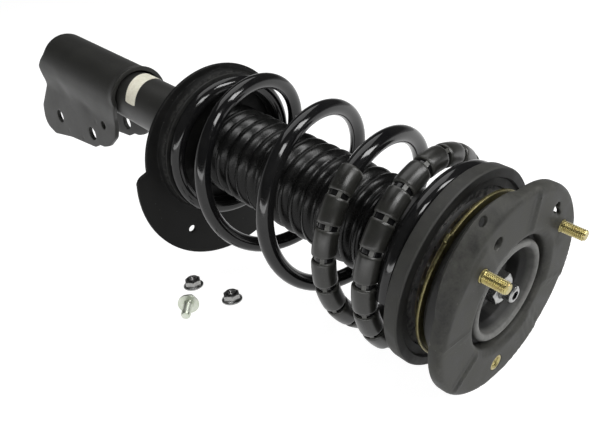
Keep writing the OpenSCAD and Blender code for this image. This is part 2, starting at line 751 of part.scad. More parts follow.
module loose_bolt() color(zinc_silver) on_ground(bolt_spot, bolt_turn)
    translate([0, 0, nut_flange_r]) rotate([0, 90, 0]) {
        cylinder(d = nut_af / cos(30), h = bolt_head_h, $fn = 6);
        cylinder(r = nut_flange_r, h = nut_flange_h, $fn = coarse);
        translate([0, 0, -bolt_l]) cylinder(r = stud_r, h = bolt_l + past, $fn = coarse);
        translate([0, 0, -bolt_l - stud_tip])
            cylinder(r1 = stud_r - stud_tip, r2 = stud_r, h = stud_tip, $fn = coarse);
    }

strut_tube();
tube_end_cap();
knuckle_bracket();
lower_spring_seat();
lower_spring_pad();
inner_cylinder();
base_valve();
rod_guide();
rod_seal();
piston_rod();
piston();
piston_nut();
rebound_stop();
bump_stop();
mount_plate();
mount_rubber();
mount_lip();
mount_bush();
mount_sleeve();
lower_mount_plate();
mount_studs();
threaded_insert();
rod_washer();
rod_nut();
bearing_upper_race();
bearing_cage();
bearing_balls();
bearing_lower_race();
upper_spring_seat();
upper_spring_pad();
dust_boot();
coil_spring();
spring_sleeves();
loose_flange_nuts();
loose_bolt();
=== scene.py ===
"""Strut assembly: the visible pieces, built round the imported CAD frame.

Lengths are millimetres in the part's frame until a mesh is made: +X runs along the strut to the tower,
and an angle about X goes from +Y towards +Z.
"""

import math

import bmesh
import bpy
import numpy as np
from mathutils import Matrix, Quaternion, Vector
from mathutils.geometry import delaunay_2d_cdt


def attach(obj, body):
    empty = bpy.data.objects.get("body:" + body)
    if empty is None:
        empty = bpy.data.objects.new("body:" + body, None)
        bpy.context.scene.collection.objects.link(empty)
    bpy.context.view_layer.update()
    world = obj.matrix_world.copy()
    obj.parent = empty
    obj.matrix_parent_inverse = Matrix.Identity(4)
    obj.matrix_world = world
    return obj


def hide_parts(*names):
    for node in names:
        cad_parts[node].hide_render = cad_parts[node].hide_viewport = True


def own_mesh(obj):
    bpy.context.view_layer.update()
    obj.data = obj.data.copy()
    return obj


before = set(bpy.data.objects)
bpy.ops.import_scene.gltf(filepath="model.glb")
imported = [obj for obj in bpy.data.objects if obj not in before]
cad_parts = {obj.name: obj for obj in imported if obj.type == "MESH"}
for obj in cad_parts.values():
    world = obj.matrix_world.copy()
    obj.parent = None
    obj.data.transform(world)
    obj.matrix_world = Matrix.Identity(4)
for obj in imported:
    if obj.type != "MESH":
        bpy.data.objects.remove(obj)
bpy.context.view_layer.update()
MM = 0.001

# Sizes of the CAD source
MOUNT_R, OPENING_R, PLATE_T, SKIRT_H, PAD_RISE, COLLAR_H = 73, 39.5, 3, 9, 1, 20
BOLT_R, STUD_ANGLES, INSERT_ANGLE = 56, (31.5, 139), 267
MOUNT_H, LOWER_PLATE_R, LOWER_PLATE_T = 27, 59, 2.5
TUBE_R, SEAT_X, SEAT_T, LEDGE_H, PAD_T = 25.5, -297, 3, 8, 1.6
WIRE_R, COIL_R, PIGTAIL_R, TOP_IN, UPPER_X = 6.4, 66, 57, 5, -44
LEDGE_R, LEDGE_SLOPE = PIGTAIL_R + WIRE_R + 0.5, 2.5
COIL_LOW, COIL_HIGH = SEAT_X + LEDGE_H + PAD_T + WIRE_R, UPPER_X - WIRE_R
BOOT_R, BOOT_TOP, BOOT_END = 38, -48, SEAT_X + LEDGE_H + 0.3
THREAD_PITCH, M8_R, FLANGE_R = 1.25, 3.98, 8.96
GROUND_TILT = math.radians(8.52)


# ---- Mesh helpers ----


def smooth_step(x):
    t = np.clip(x, 0, 1)
    return t * t * (3 - 2 * t)


def unit(v):
    return v / np.linalg.norm(v, axis=-1, keepdims=True)


def full_turn(n):
    return np.linspace(0, 2 * math.pi, n, endpoint=False)


def polar(x, r, angle):
    """Points at x along the axis, r off it, at an angle about it."""
    x, r, angle = np.broadcast_arrays(x, r, angle)
    return np.stack([x, r * np.cos(angle), r * np.sin(angle)], -1)


def flat_polar(r, angle):
    return polar(0, r, angle)[..., 1:]


def run_length(line):
    """Length along a line, at each of its points."""
    return np.concatenate([[0], np.cumsum(np.linalg.norm(np.diff(line, axis=0), axis=1))])


def rounded(points, steps=5, closed=True):
    """Outline with round corners, from points (a, b) or (a, b, corner radius)."""
    out, count = [], len(points)
    for i, point in enumerate(points):
        here = np.array(point[:2], float)
        radius = point[2] if len(point) > 2 else 0
        if radius <= 0 or (not closed and i in (0, count - 1)):
            out.append(here)
            continue
        u = unit(np.array(points[i - 1][:2]) - here)
        v = unit(np.array(points[(i + 1) % count][:2]) - here)
        half = math.acos(np.clip(u @ v, -1, 1)) / 2
        if half > math.radians(89.5):
            out.append(here)
            continue
        centre = here + unit(u + v) * radius / math.sin(half)
        p = here + u * radius / math.tan(half) - centre
        q = here + v * radius / math.tan(half) - centre
        start = math.atan2(p[1], p[0])
        turn = (math.atan2(q[1], q[0]) - start + math.pi) % (2 * math.pi) - math.pi
        for k in range(steps + 1):
            a = start + turn * k / steps
            out.append(centre + radius * np.array([math.cos(a), math.sin(a)]))
    return np.array(out)


def grid_faces(rows, columns, wrap_rows, wrap_columns):
    faces = []
    for i in range(rows if wrap_rows else rows - 1):
        for j in range(columns if wrap_columns else columns - 1):
            i2, j2 = (i + 1) % rows, (j + 1) % columns
            faces.append((i * columns + j, i2 * columns + j, i2 * columns + j2, i * columns + j2))
    return faces


def capped(rows, columns):
    """Faces of a tube with both ends closed."""
    ends = [tuple(range(columns)), tuple(range(rows * columns - 1, (rows - 1) * columns - 1, -1))]
    return grid_faces(rows, columns, False, True) + ends


def turned(rows, angle, closed=True):
    """Turned solid from rows of (x, radius), each one number or one for every angle."""
    return np.concatenate([polar(x, r, angle) for x, r in rows]), grid_faces(len(rows), len(angle), closed, True)


def lathe(profile, n=128, wave=None):
    """Turned solid from a profile of (radius, x); wave(r, x, angle) gives a change of radius."""
    angle = full_turn(n)
    r, x = (np.repeat(np.asarray(profile, float)[:, k:k + 1], n, 1) for k in (0, 1))
    if wave:
        r = r + wave(r, x, angle[None, :])
    return polar(x, r, angle).reshape(-1, 3), grid_faces(len(profile), n, True, True)


def joined(parts):
    points, faces, base = [], [], 0
    for p, f in parts:
        points.append(np.asarray(p))
        faces += [tuple(i + base for i in face) for face in f]
        base += len(p)
    return np.concatenate(points), faces


def turned_about_x(part, degrees, off=0):
    """The part moved off the axis and turned about it."""
    a = math.radians(degrees)
    x, y, z = np.array(part[0], float).T
    y = y + off
    return np.stack([x, y * math.cos(a) - z * math.sin(a), y * math.sin(a) + z * math.cos(a)], -1), part[1]


def add_object(name, data):
    thing = bpy.data.objects.new(name, data)
    bpy.context.scene.collection.objects.link(thing)
    return thing


def clean_mesh(name, part, pick=None):
    """The part as a mesh in metres; pick(face centre, normal) gives the number of each face's material."""
    mesh = bpy.data.meshes.new(name)
    mesh.from_pydata([tuple(p) for p in np.asarray(part[0], float) * MM], [], part[1])
    work = bmesh.new()
    work.from_mesh(mesh)
    bmesh.ops.remove_doubles(work, verts=work.verts, dist=2e-7)
    bmesh.ops.dissolve_degenerate(work, edges=work.edges, dist=1e-8)
    bmesh.ops.recalc_face_normals(work, faces=work.faces)
    if pick:
        for face in work.faces:
            face.material_index = pick(face.calc_center_median() / MM, face.normal)
    work.to_mesh(mesh)
    work.free()
    return mesh


def make(name, part, materials, body, replaces=(), crease=35, pick=None):
    """A piece that rides on a body; pick chooses among several materials."""
    mesh = clean_mesh(name, part, pick)
    for m in materials if isinstance(materials, list) else [materials]:
        mesh.materials.append(m)
    mesh.shade_smooth()
    mesh.set_sharp_from_angle(angle=math.radians(crease))
    thing = add_object(name, mesh)
    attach(thing, body)
    if replaces:
        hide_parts(*replaces)
    return thing


def inside(points, loop):
    x, y = points[:, 0], points[:, 1]
    found = np.zeros(len(points), bool)
    for (x0, y0), (x1, y1) in zip(loop, np.roll(loop, -1, 0)):
        if y0 != y1:
            found ^= ((y0 > y) != (y1 > y)) & (x < (x1 - x0) * (y - y0) / (y1 - y0) + x0)
    return found


def within(points, loops):
    """Which points lie inside the first loop and outside the others."""
    found = inside(points, loops[0])
    for hole in loops[1:]:
        found &= ~inside(points, hole)
    return found


def area_of(loop):
    a, b = loop, np.roll(loop, -1, 0)
    return 0.5 * np.sum(a[:, 0] * b[:, 1] - b[:, 0] * a[:, 1])


def resampled(loop, step):
    """The loop with points every step at most; its own corners stay."""
    out = []
    for a, b in zip(loop, np.roll(loop, -1, 0)):
        count = max(1, int(math.ceil(np.linalg.norm(b - a) / step)))
        out += [a + (b - a) * k / count for k in range(count)]
    out = np.array(out)
    return out[np.linalg.norm(out - np.roll(out, 1, 0), axis=1) > step * 0.12]


def circle(centre, radius, n=28):
    return centre + flat_polar(radius, full_turn(n))


def sheet(outline, holes, place, thick, step, bevel, bands=3):
    """Pressed sheet of even thickness with round edges: place(uv) carries a flat outline with holes into space."""
    loops = []
    for k, loop in enumerate([outline, *holes]):
        loop = np.asarray(loop, float)
        if (area_of(loop) > 0) != (k == 0):
            loop = loop[::-1]
        loops.append(resampled(loop, step if k == 0 else min(step, 1.6)))
    inward = []
    for loop in loops:
        along = np.roll(loop, -1, 0) - np.roll(loop, 1, 0)
        along /= np.maximum(np.linalg.norm(along, axis=1, keepdims=True), 1e-9)
        inward.append(np.stack([-along[:, 1], along[:, 0]], -1))
    edge = [l + n * bevel for l, n in zip(loops, inward)]
    low, high = loops[0].min(0), loops[0].max(0)
    rows = []
    for i, v in enumerate(np.arange(low[1], high[1], step * 0.866)):
        u = np.arange(low[0] + (i % 2) * step / 2, high[0], step)
        rows.append(np.stack([u, np.full_like(u, v)], -1))
    fill = np.concatenate(rows)
    fill = fill[within(fill, edge)]
    near = np.full(len(fill), 1e9)
    for p in np.concatenate(edge):
        near = np.minimum(near, np.sum((fill - p) ** 2, 1))
    fill = fill[near > (0.6 * step) ** 2]
    flat = np.concatenate(edge + [fill])
    links, base = [], 0
    for loop in edge:
        n = len(loop)
        links += [(base + i, base + (i + 1) % n) for i in range(n)]
        base += n
    made = delaunay_2d_cdt([Vector(p) for p in flat], links, [], 0, 1e-6)
    came_from = [o[0] for o in made[3]]
    triangles = np.array([[came_from[i] for i in f] for f in made[2]])
    triangles = triangles[within(flat[triangles].mean(1), edge)]

    def at(uv, offset):
        u, v = [0.03, 0], [0, 0.03]
        across = np.cross(place(uv + u) - place(uv - u), place(uv + v) - place(uv - v))
        return place(uv) + unit(across) * offset

    points = [at(flat, 0.0), at(flat, thick)]
    size = len(flat)
    faces = [tuple(t) for t in triangles] + [tuple(i + size for i in t[::-1]) for t in triangles]
    base, start = 2 * size, 0
    quarter = [math.pi / 2 * k / bands for k in range(1, bands + 1)]
    sign = math.copysign(1, thick)
    rings = [(bevel * (1 - math.sin(a)), sign * bevel * (1 - math.cos(a))) for a in quarter]
    rings += [(bevel * (1 - math.cos(a)), thick - sign * bevel * (1 - math.sin(a))) for a in [0.0] + quarter[:-1]]
    for loop, normal in zip(loops, inward):
        n = len(loop)
        ring_starts = [start]
        for inset, offset in rings:
            points.append(at(loop + normal * inset, offset))
            ring_starts.append(base)
            base += n
        ring_starts.append(start + size)
        for a, b in zip(ring_starts[:-1], ring_starts[1:]):
            faces += [(a + i, a + (i + 1) % n, b + (i + 1) % n, b + i) for i in range(n)]
        start += n
    return np.concatenate(points), faces


def section_axes(ahead, out):
    """Unit axes across a path: sideways, and as near to out as can be."""
    side = unit(np.cross(ahead, out))
    return side, np.cross(side, ahead)


def ringed(line, r, side, up, a):
    """Rings of points round a line: radius r at the angles a, from side towards up."""
    ring = np.cos(a)[:, None] * side[:, None] + np.sin(a)[:, None] * up[:, None]
    return line[:, None] + np.asarray(r)[..., None] * ring


def thread(pitch, depth, x0, x1, run_out=1.2):
    """A change of radius that winds a thread between x0 and x1, for lathe(wave=...)."""

    def wave(r, x, angle):
        phase = (x / pitch - angle / (2 * math.pi)) % 1
        cut = np.clip(1.35 * (1 - np.abs(2 * phase - 1)) - 0.12, 0, 1)
        hold = np.clip((x - x0) / run_out, 0, 1) * np.clip((x1 - x) / 0.25 + 0.2, 0, 1)
        return -depth * cut * hold

    return wave


def fine(profile, x0, x1, step):
    """The profile with extra points along X between x0 and x1."""
    out = []
    for a, b in zip(profile, np.roll(profile, -1, 0)):
        out.append(a)
        if min(a[1], b[1]) >= x0 - 1e-6 and max(a[1], b[1]) <= x1 + 1e-6 and min(a[0], b[0]) > 0.5:
            n = int(abs(b[1] - a[1]) / step)
            out += [a + (b - a) * k / (n + 1) for k in range(1, n + 1)]
    return np.array(out)


# ---- Materials ----


def add_node(tree, kind, inputs=(), out=0, **settings):
    """A new shader node with its inputs, each a socket, a number or a colour. Gives one of its outputs."""
    made = tree.nodes.new("ShaderNode" + kind)
    for key, value in settings.items():
        setattr(made, key, value)
    for key, value in dict(inputs).items():
        socket = made.inputs[key]
        if isinstance(value, bpy.types.NodeSocket):
            tree.links.new(value, socket)
        else:
            socket.default_value = (*value, 1) if socket.type == "RGBA" else value
    if made.outputs:
        return made.outputs[out]


def scaled(colour, factor):
    return tuple(factor * c for c in colour)


class Shade:
    """A procedural material in the making. Texture sizes are in millimetres of the piece's own frame."""

    def __init__(self, name, colour, rough=0.5, metal=0.0, specular=0.5):
        self.material = bpy.data.materials.new(name)
        self.material.use_nodes = True
        self.material.diffuse_color = (*colour, 1)
        self.tree = self.material.node_tree
        self.inputs = self.tree.nodes["Principled BSDF"].inputs
        start = {"Base Color": (*colour, 1), "Roughness": rough, "Metallic": metal, "Specular IOR Level": specular}
        for socket, value in start.items():
            self.inputs[socket].default_value = value
        self.place = self.node("TexCoord", out="Object")

    def node(self, kind, inputs=(), out=0, **settings):
        return add_node(self.tree, kind, inputs, out, **settings)

    def stretched(self, *scale):
        return self.node("Mapping", {"Vector": self.place, "Scale": scale})

    def noise(self, size_mm, detail=4.0, rough=0.55, vector=None, distort=0.0):
        return self.node("TexNoise", {"Vector": vector or self.place, "Scale": 1 / (size_mm * MM), "Detail": detail,
            "Roughness": rough, "Distortion": distort})

    def cells(self, size_mm):
        return self.node("TexVoronoi", {"Vector": self.place, "Scale": 1 / (size_mm * MM)})

    def between(self, value, low, high, to_low=0.0, to_high=1.0):
        return self.node("MapRange", {"Value": value, "From Min": low, "From Max": high, "To Min": to_low,
            "To Max": to_high}, clamp=True)

    def cloud(self, low, high, *noise, to=(0.0, 1.0), **more):
        """Noise with its values from low to high spread over the range asked for."""
        return self.between(self.noise(*noise, **more), low, high, *to)

    def maths(self, operation, a, b=0.0):
        return self.node("Math", {0: a, 1: b}, operation=operation)

    def times(self, a, b):
        return self.maths("MULTIPLY", a, b)

    def mix(self, factor, a, b):
        return self.node("Mix", {"Factor": factor, 6: a, 7: b}, 2, data_type="RGBA")

    def over(self, tone, colour, mask, strength):
        """The tone with a colour laid over it where the mask is."""
        return self.mix(self.times(mask, strength), tone, colour)

    def pointy(self, low, high):
        return self.between(self.node("NewGeometry", out="Pointiness"), low, high)

    def parts(self):
        return self.node("SeparateXYZ", {0: self.place}).node.outputs

    def radius(self):
        """Distance from the strut's axis, in millimetres."""
        _, y, z = self.parts()
        return self.times(self.maths("SQRT", self.maths("ADD", self.times(y, y), self.times(z, z))), 1 / MM)

    def rings(self, pitch_mm):
        """Waves along X."""
        return self.maths("SINE", self.times(self.parts()[0], 2 * math.pi / (pitch_mm * MM)))

    def finished(self, colour, rough, *bumps):
        """The material with its colour, its roughness and bumps of (height, depth in millimetres, strength)."""
        self.tree.links.new(colour, self.inputs["Base Color"])
        if rough:
            self.tree.links.new(rough, self.inputs["Roughness"])
        below = {}
        for height, depth_mm, strength in bumps:
            bump = self.node("Bump", {"Strength": strength, "Distance": depth_mm * MM, "Height": height, **below})
            below = {"Normal": bump}
        self.tree.links.new(bump, self.inputs["Normal"])
        return self.material


def painted(name, dark, light, rough, wear, peel, patch=18, specular=0.5):
    """Electro-coated steel: cloudy tone, orange peel, fine dust and worn edges."""
    s = Shade(name, light, rough[0], specular=specular)
    cloud = s.cloud(0.32, 0.68, patch, 5, 0.6, distort=0.4)
    grain = s.cloud(0.3, 0.7, 1.3, 3)
    tone = s.over(s.mix(cloud, dark, light), scaled(light, 1.4), grain, 0.22)
    tone = s.over(tone, (0.2, 0.2, 0.19), s.between(s.cells(5.5), 0.075, 0.03), 0.35)
    streak = s.cloud(0.6, 0.78, 2.2, 5, 0.65, vector=s.stretched(0.12, 1, 1))
    tone = s.over(tone, scaled(light, 2.2), streak, 0.22)
    edges = s.times(s.pointy(0.53, 0.60), s.cloud(0.42, 0.62, 3.5, 5))
    return s.finished(s.over(tone, (0.19, 0.185, 0.175), edges, wear),
        s.maths("ADD", s.between(cloud, 0, 1, *rough), s.times(grain, 0.06)),
        (s.noise(0.9, 2), peel, 1), (s.noise(9, 4), 0.12, 0.6))


def rubber(name, dark, light, rough, grain_mm=0.7, lip_highlight=None):
    """Moulded rubber: fine grain, dust and flow marks, with a painted highlight where asked: a lighter ring of (radius,
    width, colour).
    """
    s = Shade(name, dark, rough[0], specular=0.35)
    cloud = s.cloud(0.35, 0.7, 14, 5, 0.6, distort=0.8)
    tone = s.over(s.mix(cloud, dark, light), scaled(light, 2.4), s.cloud(0.55, 0.8, 3.1, 6, 0.7), 0.3)
    # Painted highlight: a lighter ring at one radius, where a round lip catches the light.
    if lip_highlight:
        centre, width, highlight_colour = lip_highlight
        ring = s.between(s.maths("ABSOLUTE", s.maths("SUBTRACT", s.radius(), centre)), width, width * 0.4)
        tone = s.over(tone, highlight_colour, ring, s.cloud(0.25, 0.55, 6, 4, to=(0.55, 0.95)))
    return s.finished(tone, s.between(cloud, 0, 1, *rough),
        (s.noise(grain_mm, 3), 0.05, 0.7), (s.noise(5, 3), 0.1, 0.5))


def plated(name, tones, rough, mottle=7):
    """Zinc plating: passivation colours in clouds, fine scratches and a grainy lustre."""
    s = Shade(name, tones[0], rough[0], metal=0.92)
    tone = s.mix(s.cloud(0.36, 0.64, mottle, 4, 0.6, distort=1.0), tones[0], tones[1])
    tone = s.mix(s.cloud(0.5, 0.7, mottle * 0.45, 4, 0.6, distort=1.6), tone, tones[2])
    lines = s.cloud(0.55, 0.75, 0.7, 2, 0.5, vector=s.stretched(0.15, 1, 1))
    return s.finished(s.over(tone, scaled(tones[0], 0.55), lines, 0.15), s.cloud(0.3, 0.7, 2.6, 5, to=rough),
        (s.noise(0.35, 3), 0.003, 0.8), (s.noise(1.8, 3), 0.01, 0.5))


def machined(name, tone_a, tone_b, rough, rings_mm=0.45):
    """Turned or ground steel with fine tool marks along X."""
    s = Shade(name, tone_a, rough[0], metal=1.0)
    marks = s.rings(rings_mm)
    tone = s.mix(s.cloud(0.35, 0.65, 5, 4), tone_a, tone_b)
    return s.finished(s.over(tone, scaled(tone_a, 0.6), s.between(marks, 0.4, 1), 0.12),
        s.cloud(0.3, 0.7, 3, 4, to=rough), (marks, 0.004, 0.6))


def spring_coat():
    """Gloss powder coat with slight orange peel and a few light scuffs."""
    s = Shade("spring_coating", (0.008, 0.008, 0.009), 0.1, specular=0.4)
    scuff = s.cloud(0.62, 0.74, 4, 6, 0.7, distort=0.6)
    tone = s.mix(s.cloud(0.3, 0.7, 25, 3), (0.004, 0.004, 0.0046), (0.010, 0.010, 0.010))
    tone = s.over(tone, (0.05, 0.05, 0.048), scuff, 0.4)
    return s.finished(s.over(tone, (0.16, 0.16, 0.15), s.between(s.cells(4.2), 0.05, 0.02), 0.5),
        s.maths("ADD", s.cloud(0.3, 0.7, 8, 4, to=(0.07, 0.12)), s.times(scuff, 0.2)),
        (s.noise(2.4, 2), 0.015, 0.6), (s.noise(14, 2), 0.10, 0.4))


def sleeve_plastic():
    """Satin charcoal plastic with handling marks, lighter at its sharp edges."""
    s = Shade("sleeve_plastic", (0.03, 0.03, 0.027), 0.3)
    cloud = s.cloud(0.3, 0.7, 11, 5, 0.6)
    tone = s.mix(cloud, (0.011, 0.011, 0.010), (0.021, 0.021, 0.018))
    tone = s.over(tone, (0.12, 0.12, 0.11), s.cloud(0.58, 0.76, 1.4, 5, 0.7, distort=0.3), 0.3)
    return s.finished(s.over(tone, (0.13, 0.13, 0.12), s.pointy(0.53, 0.62), 0.5), s.between(cloud, 0, 1, 0.26, 0.38),
        (s.noise(0.6, 3), 0.02, 0.6))


def boot_rubber():
    """Blow-moulded boot: satin black with faint rings and flow clouds."""
    s = Shade("boot_rubber", (0.006, 0.006, 0.006), 0.25, specular=0.22)
    cloud = s.cloud(0.32, 0.7, 12, 5, 0.6, distort=0.5)
    tone = s.mix(cloud, (0.003, 0.003, 0.003), (0.008, 0.008, 0.0077))
    return s.finished(s.over(tone, (0.06, 0.058, 0.052), s.cloud(0.56, 0.8, 2.2, 6, 0.7), 0.2),
        s.between(cloud, 0, 1, 0.2, 0.31), (s.rings(1.9), 0.008, 0.5), (s.noise(1.1, 3), 0.012, 0.6))


def foam():
    """Cellular polyurethane."""
    s = Shade("bump_foam", (0.62, 0.52, 0.28), 0.85, specular=0.2)
    return s.finished(s.mix(s.cloud(0.3, 0.7, 9, 4), (0.50, 0.41, 0.20), (0.66, 0.57, 0.33)), None,
        (s.between(s.cells(1.1), 0.1, 0.5), 0.25, 0.7))


def label_paper():
    """Bare cream label: slight fibre, wrinkles and grime."""
    s = Shade("label_paper", (0.80, 0.78, 0.66), 0.55, specular=0.4)
    cloud = s.cloud(0.3, 0.7, 5, 5, 0.6)
    tone = s.mix(cloud, (0.70, 0.67, 0.53), (0.86, 0.84, 0.72))
    return s.finished(s.over(tone, (0.42, 0.40, 0.33), s.cloud(0.60, 0.78, 2.0, 6, 0.7), 0.35),
        s.between(cloud, 0, 1, 0.45, 0.62), (s.noise(7, 3, distort=0.8), 0.12, 0.5), (s.noise(0.3, 3), 0.01, 0.5))


SATIN = painted("satin_black_paint", (0.015, 0.015, 0.0138), (0.022, 0.022, 0.020), (0.38, 0.46), 0.5, 0.02, 40, 0.26)
TUBE = painted("tube_paint", (0.018, 0.018, 0.0168), (0.023, 0.023, 0.0212), (0.34, 0.42), 0.0, 0.02, 40, 0.3)
DULL = painted("dull_black_paint", (0.006, 0.006, 0.006), (0.009, 0.009, 0.0086), (0.38, 0.52), 0.4, 0.025, 22, 0.12)
MOUNT = painted("mount_paint", (0.005, 0.005, 0.0043), (0.046, 0.046, 0.040), (0.46, 0.66), 0.7, 0.05, 13, 0.32)
SPRING = spring_coat()
SEAT_RUBBER = rubber("seat_rubber", (0.006, 0.006, 0.006), (0.017, 0.017, 0.0155), (0.55, 0.75))
# Lighter copy of the seat rubber for the upper pad's side wall: painted light, where the side catches more light than
# the front.
PAD_SIDE_PAINTED_LIGHT = rubber("pad_side_painted_light_rubber", (0.022, 0.022, 0.020), (0.036, 0.036, 0.032), (0.55, 0.72))
# The mount rubber's round lip gets a painted highlight: a light grey ring at its radius.
MOUNT_RUBBER = rubber("mount_rubber", (0.010, 0.010, 0.010), (0.026, 0.026, 0.024), (0.45, 0.66),
    lip_highlight=(32.6, 4.2, (0.16, 0.16, 0.152)))
BOOT = boot_rubber()
SLEEVES = sleeve_plastic()
CAGE = painted("cage_plastic", (0.30, 0.24, 0.12), (0.42, 0.34, 0.18), (0.45, 0.6), 0.2, 0.02, 9)
FOAM = foam()
YELLOW = plated("yellow_zinc", [(0.40, 0.34, 0.12), (0.44, 0.39, 0.18), (0.33, 0.24, 0.10)], (0.26, 0.42))
OLIVE = plated("olive_zinc", [(0.17, 0.15, 0.065), (0.24, 0.22, 0.11), (0.12, 0.10, 0.05)], (0.34, 0.52))
GREEN = plated("green_zinc", [(0.56, 0.60, 0.50), (0.64, 0.66, 0.60), (0.50, 0.56, 0.44)], (0.28, 0.46), 4)
SILVER = plated("silver_zinc", [(0.36, 0.36, 0.35), (0.28, 0.285, 0.29), (0.44, 0.43, 0.41)], (0.22, 0.36), 5)
CHROME = machined("rod_chrome", (0.72, 0.73, 0.75), (0.66, 0.67, 0.70), (0.06, 0.14), 0.3)
STEEL = machined("bare_steel", (0.50, 0.50, 0.50), (0.42, 0.42, 0.41), (0.26, 0.42))
LABEL = label_paper()
RING_BLACK = rubber("nylon_ring", (0.010, 0.010, 0.011), (0.022, 0.022, 0.022), (0.35, 0.5), 0.5)

NODE_LOOKS = {
    "strut_tube": TUBE, "tube_end_cap": SATIN, "inner_cylinder": STEEL, "base_valve": STEEL, "rod_guide": STEEL,
    "piston": STEEL, "piston_nut": SILVER, "rebound_stop": STEEL, "mount_sleeve": STEEL,
    "bearing_upper_race": STEEL, "bearing_lower_race": STEEL, "bearing_cage": CAGE, "bearing_balls": CHROME,
}
for node_name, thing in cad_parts.items():
    thing.data.materials.clear()
    thing.data.materials.append(NODE_LOOKS.get(node_name, DULL))
    thing.data.shade_smooth()
    thing.data.set_sharp_from_angle(angle=math.radians(30))


# ---- Tower mount ----

PAD_SECTORS = ((-17, 84), (127, 183), (224, 311))
SEAMS = [((6, 66), (5, 44)), ((42, -13), (68, -19)), ((31, -31), (44, -47)), ((24, -37), (34, -58)),
    ((-31, -30), (-49, -45)), ((-42, -4), (-69, -4))]
LUG_ANGLE, LUG_OFFSET, LUG_TOP, LUG_FOOT = math.radians(130), 35, 2, 11
PLATE_BEND = 3.2


def lug_reach(angle, past):
    """Distance from the axis to the plate's edge, with a lug that stands that far past the round."""
    delta = angle - LUG_ANGLE
    root = np.sqrt(np.maximum((MOUNT_R - LUG_OFFSET + past) ** 2 - (LUG_OFFSET * np.sin(delta)) ** 2, 0))
    return np.maximum(MOUNT_R, np.where(np.cos(delta) > 0, LUG_OFFSET * np.cos(delta) + root, 0))


def edge_radius(angle):
    """The plate's edge at its face."""
    return lug_reach(angle, LUG_TOP)


def wall_lean(angle):
    return np.arctan((lug_reach(angle, LUG_FOOT) - edge_radius(angle)) / (SKIRT_H - PAD_RISE))


def bend_start(angle):
    return edge_radius(angle) - PLATE_BEND * np.tan((np.pi / 2 - wall_lean(angle)) / 2)


def wall_length(angle):
    lean = wall_lean(angle)
    drop = PLATE_BEND * (1 - np.sin(lean))
    return (SKIRT_H - PAD_RISE - drop) / np.cos(lean)


def seam_distance(points, a, b):
    d = np.subtract(b, a)
    t = np.clip((points - a) @ d / (d @ d), 0, 1)
    return np.linalg.norm(points - a - t[:, None] * d, axis=1)


def face_height(r, angle):
    """Height of the plate's face over its valleys."""
    degrees = np.degrees(angle) % 360
    pad = np.zeros_like(r)
    for start, end in PAD_SECTORS:
        middle, half = (start + end) / 2, (end - start) / 2
        off = np.abs((degrees - middle + 180) % 360 - 180)
        arc_mm = (half - off) * np.pi / 180 * r
        pad = np.maximum(pad, smooth_step(arc_mm / 2.6 + 0.5))
    pad *= smooth_step((r - 41.8) / 2.2) * smooth_step((71.5 - r) / 2.2)
    points = flat_polar(r, angle)
    ridges = sum(np.exp(-(((seam_distance(points, a, b) - 2.3) / 0.75) ** 2)) for a, b in SEAMS)
    return PAD_RISE * pad + 0.5 * ridges * smooth_step((70 - r) / 3) * smooth_step((r - 42) / 3)


def over_bend(past, lean):
    """How far along and down the plate goes past the start of a bend into a wall that leans out."""
    turn = np.clip(past / PLATE_BEND, 0, np.pi / 2 - lean)
    wall = np.maximum(past - PLATE_BEND * (np.pi / 2 - lean), 0)
    return PLATE_BEND * np.sin(turn) + wall * np.sin(lean), PLATE_BEND * (1 - np.cos(turn)) + wall * np.cos(lean)


def place_plate(uv):
    """The plate's face, with its leaning outer wall and the upright collar round its opening."""
    reach, angle = np.hypot(uv[:, 0], uv[:, 1]), np.arctan2(uv[:, 1], uv[:, 0])
    outer, inner = bend_start(angle), OPENING_R + PLATE_BEND
    out, down = over_bend(reach - outer, wall_lean(angle))
    back, sunk = over_bend(inner - reach, 0)
    r = np.clip(reach, inner, outer) + out - back
    height = np.where(reach < inner, 0, face_height(np.minimum(reach, r), angle))
    return polar(height - PAD_RISE - down - sunk, r, angle)


def around(radius_of, n):
    a = full_turn(n)
    return flat_polar(radius_of(a), a)


def on_bolt_circle(degrees):
    return flat_polar(BOLT_R, math.radians(degrees))


def slot_hole(a, b, r0, r1):
    """A round hole at a with a narrow slot towards b."""
    turn = math.atan2(b[1] - a[1], b[0] - a[0])
    gap = math.asin(r1 / r0)
    return np.concatenate([a + flat_polar(r0, turn + np.linspace(gap, 2 * math.pi - gap, 22)),
        b + flat_polar(r1, turn + np.linspace(-math.pi / 2, math.pi / 2, 10))])


plate_outline = around(lambda a: bend_start(a) + PLATE_BEND * (np.pi / 2 - wall_lean(a)) + wall_length(a), 360)
collar_reach = OPENING_R + PLATE_BEND - PLATE_BEND * np.pi / 2 - (COLLAR_H - PAD_RISE - PLATE_BEND)
plate_holes = [around(lambda a: np.full_like(a, collar_reach), 120)]
plate_holes += [circle(on_bolt_circle(a), 4.55) for a in STUD_ANGLES]
plate_holes += [circle(on_bolt_circle(INSERT_ANGLE), 5.85, 32), circle((-30, 52), 4, 24)]
plate_holes += [slot_hole((33, 49), (38.5, 42.5), 3.75, 1.5)]


def wall_hole(angle, depth, wide, high):
    """An oval hole in the sloping wall, centred at that depth under the plate's base."""
    d = np.array([math.cos(angle), math.sin(angle)])
    tries = np.linspace(float(bend_start(angle)), float(bend_start(angle)) + 18, 200)
    reach = np.interp(depth, -PAD_RISE - place_plate(tries[:, None] * d)[:, 0], tries)
    a = full_turn(28)
    return reach * d + np.outer(wide / 2 * np.cos(a), [-d[1], d[0]]) + np.outer(high / 2 * np.sin(a), d)


plate_holes.append(wall_hole(math.radians(120.9), 5.4, 7.2, 4.2))
plate = sheet(plate_outline, plate_holes, place_plate, -PLATE_T, 2.1, 0.55)
make("mount_plate_pressed", plate, MOUNT, "tower_mount", ["mount_plate"])

